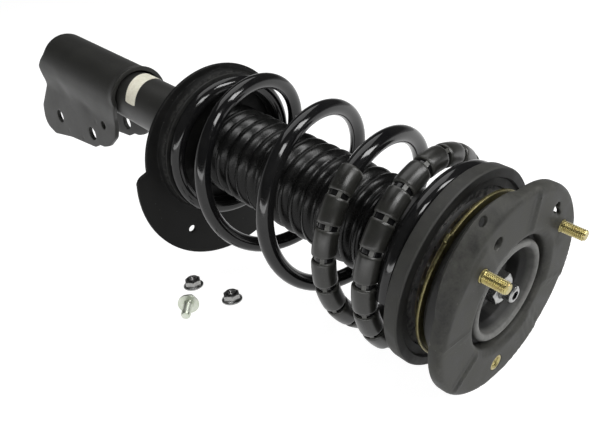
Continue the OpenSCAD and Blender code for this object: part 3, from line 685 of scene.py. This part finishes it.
# Rubber bush, well and drum, with pockets for the studs' heads and the insert
LIP_R, LIP_ROUND, DRUM_R = 32.8, 2.8, 57
lip_arc = (LIP_R, -PLATE_T - LIP_ROUND) + flat_polar(LIP_ROUND, np.radians(np.linspace(190, 0, 10)))
rubber_profile = rounded([
    (13, -26.9), (13, -21.2, 1.2), (17, -23.0, 2), (24.5, -23.0, 1.6), (26, -21, 1.5), (26.6, -13, 4), *lip_arc,
    (35.6, -9.0, 1.2), (39.4, -9.0, 0.3), (39.4, -20.1), (42.6, -20.1),
    (42.6, -4.05), (DRUM_R, -4.05, 0.6), (DRUM_R, -15, 6), (DRUM_R - 0.4, -24.0, 2.2), (DRUM_R - 3, -27.0, 1.2)], 6)
rubber_part = lathe(rubber_profile, 160)
mount_rubber = make("mount_rubber_moulded", rubber_part, MOUNT_RUBBER, "tower_mount",
    ["mount_rubber", "mount_lip", "mount_bush"], 40)


def cut(thing, part):
    """Takes a closed part out of the piece."""
    tool = add_object("cutter", clean_mesh("cutter", part))
    change = thing.modifiers.new("cut", "BOOLEAN")
    change.operation, change.solver, change.object = "DIFFERENCE", "EXACT", tool
    bpy.context.view_layer.update()
    result = bpy.data.meshes.new_from_object(thing.evaluated_get(bpy.context.evaluated_depsgraph_get()))
    thing.modifiers.clear()
    thing.data = result
    result.set_sharp_from_angle(angle=math.radians(40))
    mesh = tool.data
    bpy.data.objects.remove(tool)
    bpy.data.meshes.remove(mesh)


def plug(r, x0, x1):
    return lathe([(0, x0), (r, x0), (r, x1), (0, x1)], 48)


pockets = [turned_about_x(plug(9, -11, 1), a, BOLT_R) for a in STUD_ANGLES]
pockets.append(turned_about_x(plug(9, -15, 1), INSERT_ANGLE, BOLT_R))
cut(mount_rubber, joined(pockets))

# Studs: a round head under the plate, a plain shank and a rolled thread
stud_profile = rounded([(0, -6), (7, -6, 0.7), (7, -3, 0.4), (4.35, -3), (4.35, 0), (M8_R, 0.3), (M8_R, 15.0, 0.2),
    (3.1, 16), (0, 16)], 3)
stud = lathe(fine(stud_profile, 0.3, 15.0, 0.125), 48, thread(THREAD_PITCH, 0.62, 0.9, 15.6))
make("stud_threads", joined([turned_about_x(stud, a, BOLT_R) for a in STUD_ANGLES]), YELLOW, "tower_mount",
    ["mount_studs"], 50)

# Threaded insert with a countersunk mouth
insert_profile = rounded([(3.4, -14), (5.7, -14, 0.5), (5.7, -6), (8.2, -6, 0.4), (8.2, -3), (5.7, -3),
    (5.7, -0.15, 0.35), (4.5, -0.15, 0.2), (3.4, -1.2)], 3)
insert_wave = thread(THREAD_PITCH, -0.5, -13.9, -1.0)
insert = lathe(fine(insert_profile, -14, -1.2, 0.125), 48,
    lambda r, x, a: np.where(r < 3.6, insert_wave(r, x, a), 0))
make("insert_threads", turned_about_x(insert, INSERT_ANGLE, BOLT_R), YELLOW, "tower_mount", ["threaded_insert"],
    50)

# Lower plate: a dished ring with a turned rim and a small tab
LOWER_X, DISH_X = -MOUNT_H - LOWER_PLATE_T, -MOUNT_H - 0.55
ring_profile = rounded([(15, LOWER_X, 0.5), (LOWER_PLATE_R - 0.2, LOWER_X, 0.8), (LOWER_PLATE_R, -MOUNT_H, 0.7),
    (LOWER_PLATE_R - 1.6, -MOUNT_H, 0.5), (LOWER_PLATE_R - 2.2, DISH_X, 0.6), (15, DISH_X, 0.5)], 4)
tab = rounded([(54, -3), (61, -3, 1.2), (61, 3, 1.2), (54, 3)], 4)
tab_rows = ((LOWER_X + 0.05, 0.25), (LOWER_X + 0.35, 0), (-MOUNT_H - 0.35, 0), (-MOUNT_H - 0.05, 0.25))
tab_part = (np.array([(x, y - inset, z) for x, inset in tab_rows for y, z in tab]), capped(4, len(tab)))
make("lower_plate_pressed", joined([lathe(ring_profile, 160), turned_about_x(tab_part, 130)]), OLIVE, "tower_mount",
    ["lower_mount_plate"])

# Rod: ground chrome, with a rolled thread at the top and a hex socket in its tip
rod_profile = rounded([(0, -345), (5.4, -345, 0.3), (6, -344.2), (6, -316.05), (9.99, -316.05, 0.5), (9.99, -31.1, 0.8),
    (6, -31.1), (6, 0.2, 0.3), (4.7, 1.2, 0.25), (0, 1.2)], 3)
rod_profile = fine(fine(rod_profile, -19.4, 0.2, 0.16), -344.2, -316.05, 0.4)
rod_wave = thread(THREAD_PITCH, 0.55, -19.0, 0.9)
rod_part = lathe(rod_profile, 64, lambda r, x, a: np.where((r < 6.2) & (x > -20), rod_wave(r, x, a), 0))
rod = make("piston_rod_finished", rod_part, [CHROME, SILVER], "tower_mount", ["piston_rod"], 40,
    pick=lambda c, n: int(c.x > -31.3 and (c.x > -30.9 or abs(n.x) > 0.7) or c.x < -315.5))
cut(rod, lathe([(0, -4.8), (3.46, -4.8), (3.46, 2.5), (0, 2.5)], 6))


def hex_reach(angle, across_flats):
    """Distance from a hexagon's middle to its side."""
    return across_flats / 2 / np.cos((angle % (np.pi / 3)) - np.pi / 6)


def nut(across_flats, height, bore, flange=0.0, flange_h=0.0, collar=0.0):
    """Nut along +X from x = 0: chamfered hexagon, threaded bore, and a flange or a collar where asked."""
    angle = full_turn(96)
    wide, flat_r, top = hex_reach(angle, across_flats), across_flats / 2, height - collar
    face_r = flat_r * 0.965
    chamfer = np.maximum(wide - face_r, 0) * math.tan(math.radians(30))
    wave = thread(THREAD_PITCH, -0.45, 0.4, height - 0.4, 0.6)
    steps = int((height - 1.6) / 0.14)
    heights = [0.8 + (height - 1.6) * k / steps for k in range(steps + 1)]
    rows = [(x, bore + wave(bore, x, angle)) for x in heights] + [(height - 0.05, bore + 0.85)]
    if collar:
        lip = flat_r - 0.9
        rows += [(height, bore + 1.2), (height, lip - 0.5), (height - 0.5, lip), (top + 0.05, lip + 0.15)]
    rows += [(top, face_r), (top - chamfer, np.maximum(wide, face_r))]
    if flange:
        rise = (flange - wide) * 0.32
        rows += [(flange_h + rise + 0.35, wide), (flange_h + rise, wide + 0.25), (flange_h, flange - 0.3),
            (flange_h - 0.25, flange - 0.05), (0.35, flange), (0, flange - 0.3)]
    else:
        rows += [(chamfer, wide), (0, face_r)]
    return turned([*rows, (0, bore + 0.85)], angle)


nut_points, nut_faces = nut(19, 10, 5.45)
make("rod_nut_chamfered", (nut_points - [16.6, 0, 0], nut_faces), SILVER, "tower_mount", ["rod_nut"], 25)
washer = lathe(rounded([(6.05, -19.1, 0.3), (13, -19.1, 0.5), (13, -16.6, 0.5), (6.05, -16.6, 0.3)], 3), 96)
make("rod_washer_rounded", washer, SILVER, "tower_mount", ["rod_washer"])

# Bump stop: three round bulges on the rod
bump = [(14, -29.6), (14, -32.1), (10.1, -32.1), (10.1, -103.9), (16.5, -103.9)]
bump += [(19.6 + 4.3 * abs(math.sin(3 * math.pi * t)) ** 1.3, -101.5 + 71.8 * t) for t in np.linspace(0, 1, 61)]
make("bump_stop_foam", lathe(bump, 96), FOAM, "tower_mount", ["bump_stop"], 50)

# ---- Upper seat ----

pad_profile = rounded([(57.2, -39.45), (57.6, -36.6, 0.4), (63.4, -36.6, 0.4), (64.2, -34.1, 0.6), (70.2, -34, 0.7),
    (71, -35.2, 0.7), (71, -43.9, 0.8), (COIL_R + 4.2, -44.0, 1), (COIL_R, -44.05, 4), (COIL_R - 4.2, -44.0, 1),
    (57, -44, 0.8), (57, -42.05), (67.05, -42.05), (67.05, -39.45)], 4)
# Faces on the pad's outer side take the lighter rubber, which is painted light; the rest take the seat rubber.
make("upper_pad_moulded", lathe(pad_profile, 160), [SEAT_RUBBER, PAD_SIDE_PAINTED_LIGHT], "upper_seat", ["upper_spring_pad"],
    30, pick=lambda c, n: int(math.hypot(c.y, c.z) > 70 and abs(n.x) < 0.8))

# Boot: a smooth cup with a full lip, then round folds down to its foot
RIBS, RIB_DEPTH, WALL = 15, 6, 1.5
CUP_END, RIBS_X = BOOT_TOP - 45, BOOT_END + 4
pitch_mm = (CUP_END - RIBS_X) / RIBS


def boot_side(shrink):
    """The boot's foot and folds, moved in by its wall."""
    root = BOOT_R - RIB_DEPTH - shrink
    t = (np.arange(12 * RIBS) + 0.5) / 12
    folds = zip(root + RIB_DEPTH * np.abs(np.sin(np.pi * t)) ** 1.15, RIBS_X + t * pitch_mm)
    return [(root, BOOT_END + shrink * 0.2), (root, RIBS_X - 1.2), *folds]


outer, inner = boot_side(0), boot_side(WALL)
cup_outer = rounded([outer[-1], (32.3, CUP_END + 0.8, 0.8), (35.2, CUP_END + 3, 2.2), (37.6, CUP_END + 7.5, 5),
    (37.9, BOOT_TOP - 12, 8), (36.6, BOOT_TOP - 0.4, 5.2), (29.6, BOOT_TOP)], 6, closed=False)
cup_inner = rounded([(29.6, BOOT_TOP - WALL), (35.1, BOOT_TOP - 0.4 - WALL, 3.8), (36.4, BOOT_TOP - 12, 8),
    (36.1, CUP_END + 8.5, 5), (33.4, CUP_END + 4.2, 2.2), (30.8, CUP_END + 2, 0.8), inner[-1]], 6, closed=False)
boot = lathe(np.concatenate([outer, cup_outer[1:], cup_inner[:-1], inner[::-1]]), 144)
boot_piece = make("dust_boot_bellows", boot, BOOT, "upper_seat", ["dust_boot"], 60)

# Coil: the source's pitch law, along one smooth line
U_FROM, U_TO = -1.0, 4.5


def coil_pitch(u):
    return smooth_step((u + 0.36) / 0.41) * (1 - smooth_step((u - 0.55) / 4.67))


def coil_reach(u):
    return PIGTAIL_R + (COIL_R - PIGTAIL_R) * smooth_step((u + 0.35) / 0.55) - TOP_IN * smooth_step((u - 3.7) / 0.8)


fine_u = np.linspace(U_FROM, U_TO, 2201)
climb = np.concatenate([[0], np.cumsum(coil_pitch((fine_u[1:] + fine_u[:-1]) / 2))])
climb /= climb[-1]


def coil_at(u):
    x = COIL_LOW + (COIL_HIGH - COIL_LOW) * np.interp(u, fine_u, climb)
    return polar(x, coil_reach(u), 2 * np.pi * u)


def from_axis(p):
    return unit(p * [0, 1, 1])


coil_u = np.concatenate([[U_FROM], np.linspace(U_FROM + 0.0016, U_TO - 0.0016, 440), [U_TO]])
wire_radius = np.full(len(coil_u), WIRE_R)
wire_radius[[0, -1]] = WIRE_R - 0.7
coil_line = coil_at(coil_u)
coil_axes = section_axes(unit(np.gradient(coil_line, axis=0)), from_axis(coil_line))
wire = ringed(coil_line, wire_radius[:, None], *coil_axes, full_turn(28))
coil = make("coil_spring_wound", (wire.reshape(-1, 3), capped(len(coil_line), 28)), SPRING, "upper_seat",
    ["coil_spring"], 40)

# Sleeves: short moulded tubes in a chain on 1.3 turns, joined by thin necks
SLEEVE_FROM, SLEEVE_TO, SLEEVE_COUNT, SLEEVE_SHARE = 2.335, 3.635, 26, 0.83
SLEEVE_BORE, SLEEVE_R, OVERLAP = WIRE_R + 0.12, 8.3, 0.0008
NECK_ANGLES, NECK_SECTION = (0.5, 2.2, 3.9, 5.4), ((-0.2, 6.5), (0.2, 6.5), (0.2, 7.3), (-0.2, 7.3))


def across_coil(u):
    """The coil's line at u with its axes: sideways and away from the strut."""
    line = coil_at(u)
    return line, *section_axes(unit(coil_at(u + 1e-4) - coil_at(u - 1e-4)), from_axis(line))


sleeve_along = np.array([0, 0, 0.03, 0.1, 0.3, 0.5, 0.7, 0.9, 0.97, 1, 1])
sleeve_radius = np.array([SLEEVE_BORE, 7.6, 8.15, *[SLEEVE_R] * 5, 8.15, 7.6, SLEEVE_BORE])
sleeve_angle = full_turn(40)
seam_bead = 1 + 0.02 * np.maximum(0, np.cos(sleeve_angle + 0.3)) ** 40
sleeve_step = (SLEEVE_TO - SLEEVE_FROM) / SLEEVE_COUNT
sleeve_parts = []
for k in range(SLEEVE_COUNT):
    a, b = SLEEVE_FROM + k * sleeve_step, SLEEVE_FROM + (k + SLEEVE_SHARE) * sleeve_step
    line, side, up = across_coil(a + (b - a) * sleeve_along)
    shell = ringed(line, sleeve_radius[:, None] * seam_bead, side, up, sleeve_angle)
    back = ringed(line, SLEEVE_BORE, side, up, sleeve_angle)[::-1][1:-1]
    rings = np.concatenate([shell, back])
    sleeve_parts.append((rings.reshape(-1, 3), grid_faces(len(rings), len(sleeve_angle), True, True)))
    if k < SLEEVE_COUNT - 1:
        line, side, up = across_coil(np.linspace(b - OVERLAP, SLEEVE_FROM + (k + 1) * sleeve_step + OVERLAP, 4))
        for turn in NECK_ANGLES:
            strips = [line + h * (math.cos(turn + w) * side + math.sin(turn + w) * up) for w, h in NECK_SECTION]
            sleeve_parts.append((np.stack(strips, 1).reshape(-1, 3), capped(4, 4)))
sleeves = make("spring_sleeve_chain", joined(sleeve_parts), SLEEVES, "upper_seat", ["spring_sleeves"],
    40)

# The coil, its sleeves and the boot each get a mesh of their own
for thing in (coil, sleeves):
    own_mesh(thing)
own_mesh(boot_piece)

# ---- Lower seat ----

SEAT_OFFSET, SEAT_R = np.array([-3, -4]), 74
LOBE_OFFSET, LOBE_R, LOBE_FROM, LOBE_TO, LOBE_CORNER = np.array([10, -20]), 97.5, 171, 300, 9
DRAIN, DRAIN_R = (-39, -78), 3.5


def seat_outline():
    """The round seat and its wide lobe as one loop, from the further of the two at each angle."""
    rim = flat_polar(LOBE_R, np.radians(np.linspace(LOBE_FROM, LOBE_TO, 33)))
    lobe = [(0, 0)] + [(*p, LOBE_CORNER if i in (0, len(rim) - 1) else 0) for i, p in enumerate(rim)]
    lobe = rounded(lobe, 8) + LOBE_OFFSET
    disc = circle(SEAT_OFFSET, SEAT_R, 240)
    angles = np.radians(np.arange(0, 360, 0.75))
    reach, (dy, dz) = 0, flat_polar(1, angles[:, None]).transpose(2, 0, 1)
    for loop in (lobe, disc):
        (y, z), (ey, ez) = loop.T, (np.roll(loop, -1, 0) - loop).T
        det = dz * ey - dy * ez
        with np.errstate(divide="ignore", invalid="ignore"):
            t, s = (z * ey - y * ez) / det, (dy * z - dz * y) / det
        hit = (s >= 0) & (s <= 1) & (t > 0) & np.isfinite(t)
        reach = np.maximum(reach, np.where(hit, t, 0).max(1))
    return flat_polar(reach, angles)


LEDGE_UNDER, SEAT_NECK, FLAT_R = SEAT_X + LEDGE_H - SEAT_T, 18, 75
seat_profile = rounded([(TUBE_R + 0.05, LEDGE_UNDER), (LEDGE_R - 3, LEDGE_UNDER, 0.4),
    (LEDGE_R + LEDGE_SLOPE - 2.9, SEAT_X - SEAT_T, 3.5), (FLAT_R, SEAT_X - SEAT_T)], 8, closed=False)
seat_length = run_length(seat_profile)
seat_start = FLAT_R - seat_length[-1]


def place_seat(uv):
    """The seat's underside: along its profile up to the flat rim, with 24 short ribs."""
    reach, angle = np.hypot(uv[:, 0], uv[:, 1]), np.arctan2(uv[:, 1], uv[:, 0])
    along = reach - seat_start
    r = np.where(reach < FLAT_R, np.interp(along, seat_length, seat_profile[:, 0]), reach)
    x = np.interp(along, seat_length, seat_profile[:, 1])
    ribs = np.cos(angle * 12) ** 12 * smooth_step((r - 33) / 3) * smooth_step((48 - r) / 3)
    return polar(x + 0.8 * ribs, r, angle)


seat_holes = [circle((0, 0), seat_start + 0.02, 72), circle(DRAIN, DRAIN_R, 24)]
seat = sheet(seat_outline(), seat_holes, place_seat, SEAT_T, 2.4, 0.7)
neck_in, neck_out, neck_low = TUBE_R + 0.05, TUBE_R + SEAT_T, SEAT_X - SEAT_NECK
neck = lathe(rounded([(neck_in, neck_low, 0.4), (neck_out, neck_low, 0.6), (neck_out, LEDGE_UNDER, 3),
    (neck_out + 4, LEDGE_UNDER), (neck_out + 4, LEDGE_UNDER + 0.5), (neck_in, LEDGE_UNDER + 0.5)], 5), 128)
make("lower_seat_pressed", joined([seat, neck]), DULL, "strut_body", ["lower_spring_seat"])
pad_low, pad_top = SEAT_X + LEDGE_H + 0.02, SEAT_X + LEDGE_H + PAD_T
pad_in, pad_out = PIGTAIL_R - WIRE_R, PIGTAIL_R + WIRE_R
pad = rounded([(pad_in, pad_low, 0.4), (pad_out, pad_low, 0.4), (pad_out, pad_top, 0.6),
    (PIGTAIL_R, pad_top - 0.1, 3), (pad_in, pad_top, 0.6)], 4)
make("lower_pad_moulded", lathe(pad, 160), SEAT_RUBBER, "strut_body", ["lower_spring_pad"], 40)
seal = rounded([(10.04, -262), (23.2, -262, 0.4), (23.2, -254.5, 0.4), (10.04, -254.5, 1.5)], 4)
make("rod_seal_moulded", lathe(seal, 96), SEAT_RUBBER, "strut_body", ["rod_seal"])

# ---- Knuckle bracket ----

BRACKET_T, IN_R, GAP = 4.5, 25.55, 19.75
FRONT_X, BACK_X, FLARE, FLARE_L = -435, -596, 2, 12
HOLES = ((-510.5, -59.4, 7.6), (-592, -64.5, 7.6), (-478.8, -38.7, 4.5))
side_view = [(FRONT_X, 31), (FRONT_X, -3, 10), (-448, -22, 20), (-455, -46, 14), (-473, -62, 14), (-486, -67.5, 8),
    (-497, -69, 5), (-509, -76, 10), (-570, -84.5, 60), (-618, -96, 14), (-644, -90, 14), (-640, -64, 16),
    (-612, -28, 20), (-611, -4, 7), (BACK_X, 11, 8), (BACK_X, 31)]
side_loop = rounded(side_view, 8, closed=False)


def half_width(z):
    return IN_R - (IN_R - GAP) * smooth_step((-z - 3) / 30)


top_angles = np.linspace(np.pi / 2, 0, 40)
drop = np.linspace(0, -112, 450)[1:]
section = np.concatenate([flat_polar(IN_R, top_angles), np.stack([half_width(drop), drop], -1)])
section_length = run_length(section)


def length_at(z):
    return np.interp(-z, -section[:, 1], section_length)


# Dents, a swelling and punch marks: (x, z, half length, half height, depth)
DENTS = [(-566, -20, 15, 10, 1.1), (-512, -27, 15, 9, 1.1), (-540, -30, 30, 7, -0.5)]
DENTS += [(x, z, 2.2 ** 0.5, 2.2 ** 0.5, 0.5) for x, z in ((-574.5, -77.5), (-537.8, -74.6), (-496.9, -40.4))]


def place_bracket(uv):
    x, s = uv[:, 0], uv[:, 1]
    run = np.abs(s)
    y = np.interp(run, section_length, section[:, 0])
    z = np.interp(run, section_length, section[:, 1])
    side = np.where(s < 0, -1.0, 1.0)
    open_up = smooth_step((x - (FRONT_X - FLARE_L)) / FLARE_L * 0.8) * 1.12 * FLARE * smooth_step((z + 4) / 10)
    r = np.maximum(np.hypot(y, np.maximum(z, 0)), 1)
    y, z = y + open_up * y / r, z + open_up * np.maximum(z, 0) / r
    for dx, dz, w, h, deep in DENTS:
        y = y - deep * np.exp(-(((x - dx) / w) ** 2) - (((z - dz) / h) ** 2))
    return np.stack([x, side * np.maximum(y, 0), z], -1)


half_loop = np.stack([side_loop[:, 0], length_at(np.minimum(side_loop[:, 1], IN_R))], -1)
half_loop[0, 1] = half_loop[-1, 1] = 0
bracket_loop = np.concatenate([half_loop, (half_loop * [1, -1])[::-1][1:-1]])
hole_loops = [circle((x, z), r, 44) for x, z, r in HOLES]
bracket_holes = [np.stack([p[:, 0], sign * length_at(p[:, 1])], -1) for p in hole_loops for sign in (1, -1)]
bracket = sheet(bracket_loop, bracket_holes, place_bracket, BRACKET_T, 2.6, 0.6)
make("knuckle_bracket_pressed", bracket, SATIN, "strut_body", ["knuckle_bracket"])

# Bare label strip, wrapped aslant on the tube
STRIP_ROWS, STRIP_COLUMNS, STRIP_UNDER, STRIP_OVER = 60, 9, 0.02, 0.17
strip = []
for t in np.linspace(0, 1, STRIP_ROWS):
    phi = math.radians(50 + 115 * t)
    x0, x1 = -434.5 + 15.8 * t, -414.6 + 12.8 * t
    for w in np.linspace(0, 1, STRIP_COLUMNS):
        pull = 0.9 * max(0, 1 - min(t, 1 - t) * 60) * (abs(w - 0.5) * 2) ** 4
        strip.append((x0 + (x1 - x0) * w, phi + math.copysign(pull, 0.5 - t) / TUBE_R))
strip = np.array(strip)
faces = grid_faces(STRIP_ROWS, STRIP_COLUMNS, False, False)
number = np.arange(len(strip)).reshape(STRIP_ROWS, STRIP_COLUMNS)
border = [int(i) for i in np.concatenate([number[:, 0], number[-1, 1:], number[-2::-1, -1], number[0, -2:0:-1]])]
count = len(strip)
strip_faces = faces + [tuple(i + count for i in reversed(f)) for f in faces]
strip_faces += [(a, b, b + count, a + count) for a, b in zip(border, border[1:] + border[:1])]
strip_points = np.concatenate([polar(strip[:, 0], TUBE_R + h, strip[:, 1]) for h in (STRIP_UNDER, STRIP_OVER)])
make("label_strip", (strip_points, strip_faces), LABEL, "strut_body", crease=40)

# ---- Loose fasteners ----


def on_ground(x, y):
    return x, y, -MOUNT_R + x * math.tan(GROUND_TILT)


def grounded(part, x, y, turn=0.0):
    """A part that stands on z = 0, turned about Z and moved to the tilted ground."""
    a = math.radians(turn)
    px, py, pz = part[0].T
    px, py = px * math.cos(a) - py * math.sin(a), px * math.sin(a) + py * math.cos(a)
    c, s = math.cos(-GROUND_TILT), math.sin(-GROUND_TILT)
    return np.stack([px * c + pz * s, py, -px * s + pz * c], -1) + on_ground(x, y), part[1]


NUT_SPOTS, BOLT_SPOT, BOLT_TURN = ((-264.8, -64.1), (-218.8, -55.5)), (-230.7, -91.1), 138
nut_points, nut_faces = nut(13, 8, 3.4, FLANGE_R, 1.5, 1.2)
upright = (nut_points[:, ::-1] * [-1, 1, 1], nut_faces)
loose = joined([grounded(upright, *spot) for spot in NUT_SPOTS])
ground_up = Vector((-math.sin(GROUND_TILT), 0, math.cos(GROUND_TILT)))
spots = [Vector(on_ground(*spot)) for spot in NUT_SPOTS]


def nut_material(centre, normal):
    spot = min(spots, key=lambda p: (centre - p).length)
    high = (centre - spot).dot(ground_up)
    away = ((centre - spot) - ground_up * high).length
    return int(high > 6.86 and away > 4.3)


make("loose_flange_nuts_chamfered", loose, [SILVER, RING_BLACK], "loose_nuts", ["loose_flange_nuts"], 25,
    pick=nut_material)

# Loose bolt: a flanged hexagon head and a threaded shank
angle = full_turn(72)
wide = hex_reach(angle, 13)
rows = [(5.1, 0.001), (5.1, 4.2), (5.3, 4.6), (5.3, 6.1), (5.3 - np.maximum(wide - 6.25, 0) * 0.577, wide),
    (1.6 + (FLANGE_R - wide) * 0.25, wide), (1.55, 8.6), (1.1, 8.93), (0.3, FLANGE_R), (0, 8.6), (0, 4.4), (-0.6, M8_R)]
wave = thread(THREAD_PITCH, 0.62, -16.4, -2.0)
rows += [(x, M8_R + wave(M8_R, x, angle)) for x in np.arange(-0.9, -15.9, -0.125)] + [(-16.9, 3.0), (-17.0, 0.001)]
bolt_points, bolt_faces = turned(rows, angle, False)
lying = (bolt_points + [0, 0, FLANGE_R], bolt_faces)
make("loose_bolt_threads", grounded(lying, *BOLT_SPOT, BOLT_TURN), GREEN, "loose_bolt_body", ["loose_bolt"],
    30)

# ---- Floor, lights, camera ----

FLOOR_SIZE, FLOOR_GAP, FLOOR_GLOW, FLOOR_WHITE = 6.0, 0.0002, 0.95, 0.28
floor_mesh = bpy.data.meshes.new("floor")
floor_z, slope = -MOUNT_R * MM - FLOOR_GAP, math.tan(GROUND_TILT)
corners = [(FLOOR_SIZE * i, FLOOR_SIZE * j) for i, j in ((-1, -1), (1, -1), (1, 1), (-1, 1))]
floor_mesh.from_pydata([(x, y, floor_z + x * slope) for x, y in corners], [], [(0, 1, 2, 3)])
floor = add_object("floor", floor_mesh)


def largest(tree, first, *others):
    for other in others:
        first = add_node(tree, "Math", {0: first, 1: other}, operation="MAXIMUM")
    return first


# The floor glows for the rays that show the background: from the camera, in gloss and through glass
white = bpy.data.materials.new("floor_white")
white.use_nodes = True
tree = white.node_tree
tree.nodes.clear()
rays = add_node(tree, "LightPath").node.outputs
shown = largest(tree, *(rays[kind] for kind in ("Is Camera Ray", "Is Glossy Ray", "Is Transmission Ray")))
level = add_node(tree, "Math", {0: shown, 1: FLOOR_GLOW}, operation="MULTIPLY")
glow = add_node(tree, "Emission", {"Color": (1, 1, 1), "Strength": level})
diffuse = add_node(tree, "BsdfDiffuse", {"Color": [FLOOR_WHITE] * 3})
add_node(tree, "OutputMaterial", {"Surface": add_node(tree, "AddShader", {0: diffuse, 1: glow})})
floor_mesh.materials.append(white)

# The studio: white for the camera, and for other rays paler at the horizon than at the ceiling
HORIZON_LEVEL, CEILING_LEVEL, CEILING_FROM = 0.5, 0.05, 0.25
world = bpy.data.worlds.new("studio")
bpy.context.scene.world = world
world.use_nodes = True
tree = world.node_tree
tree.nodes.clear()
height = add_node(tree, "SeparateXYZ", {0: add_node(tree, "TexCoord", out="Generated")}, "Z")
ceiling = add_node(tree, "MapRange", {"Value": height, "From Min": 0, "From Max": CEILING_FROM,
    "To Min": HORIZON_LEVEL, "To Max": CEILING_LEVEL}, interpolation_type="SMOOTHSTEP")
level = largest(tree, add_node(tree, "LightPath", out="Is Camera Ray"), ceiling)
plain = add_node(tree, "Background", {"Color": (1, 1, 1), "Strength": level})
add_node(tree, "OutputWorld", {"Surface": plain})

LAMPS_AIM = Vector((-0.2, 0, 0))


def softbox(name, azimuth, elevation, distance, size, radiance, roll=0.0):
    """A rectangular lamp that looks at the spring from that direction, with its brightness as seen."""
    data = bpy.data.lights.new(name, "AREA")
    data.shape, data.size, data.size_y = "RECTANGLE", *size
    data.energy = radiance * math.pi * size[0] * size[1]
    thing = add_object(name, data)
    az, el = math.radians(azimuth), math.radians(elevation)
    towards = Vector((math.cos(el) * math.cos(az), math.cos(el) * math.sin(az), math.sin(el)))
    thing.location = LAMPS_AIM + distance * towards
    thing.rotation_mode = "QUATERNION"
    turn = Quaternion((0, 0, 1), math.radians(roll))
    thing.rotation_quaternion = (-towards).to_track_quat("-Z", "Y") @ turn
    return thing


softbox("overhead", 150, 66, 1.9, (1.9, 1.5), 1.8)
softbox("window_one", 36, 45, 1.8, (0.34, 1.15), 13, 10)
softbox("window_two", -10, 49, 1.8, (0.34, 1.0), 12, 42)
softbox("low_front", -65, 4, 1.05, (2.0, 0.13), 5)
softbox("fill", -75, 42, 1.9, (1.6, 1.2), 0.9).visible_glossy = False

camera_data = bpy.data.cameras.new("camera")
camera_data.sensor_width = 36
camera_data.lens = 39
camera_data.clip_start = 0.01
camera = add_object("camera", camera_data)
azimuth, elevation = math.radians(47.02), math.radians(32.26)
camera.location = (0.1385, -0.3087, 0.2559)
camera.rotation_mode = "XYZ"
camera.rotation_euler = (math.pi / 2 - elevation, 0, azimuth)
bpy.context.scene.camera = camera
bpy.context.scene.view_settings.view_transform = "Standard"
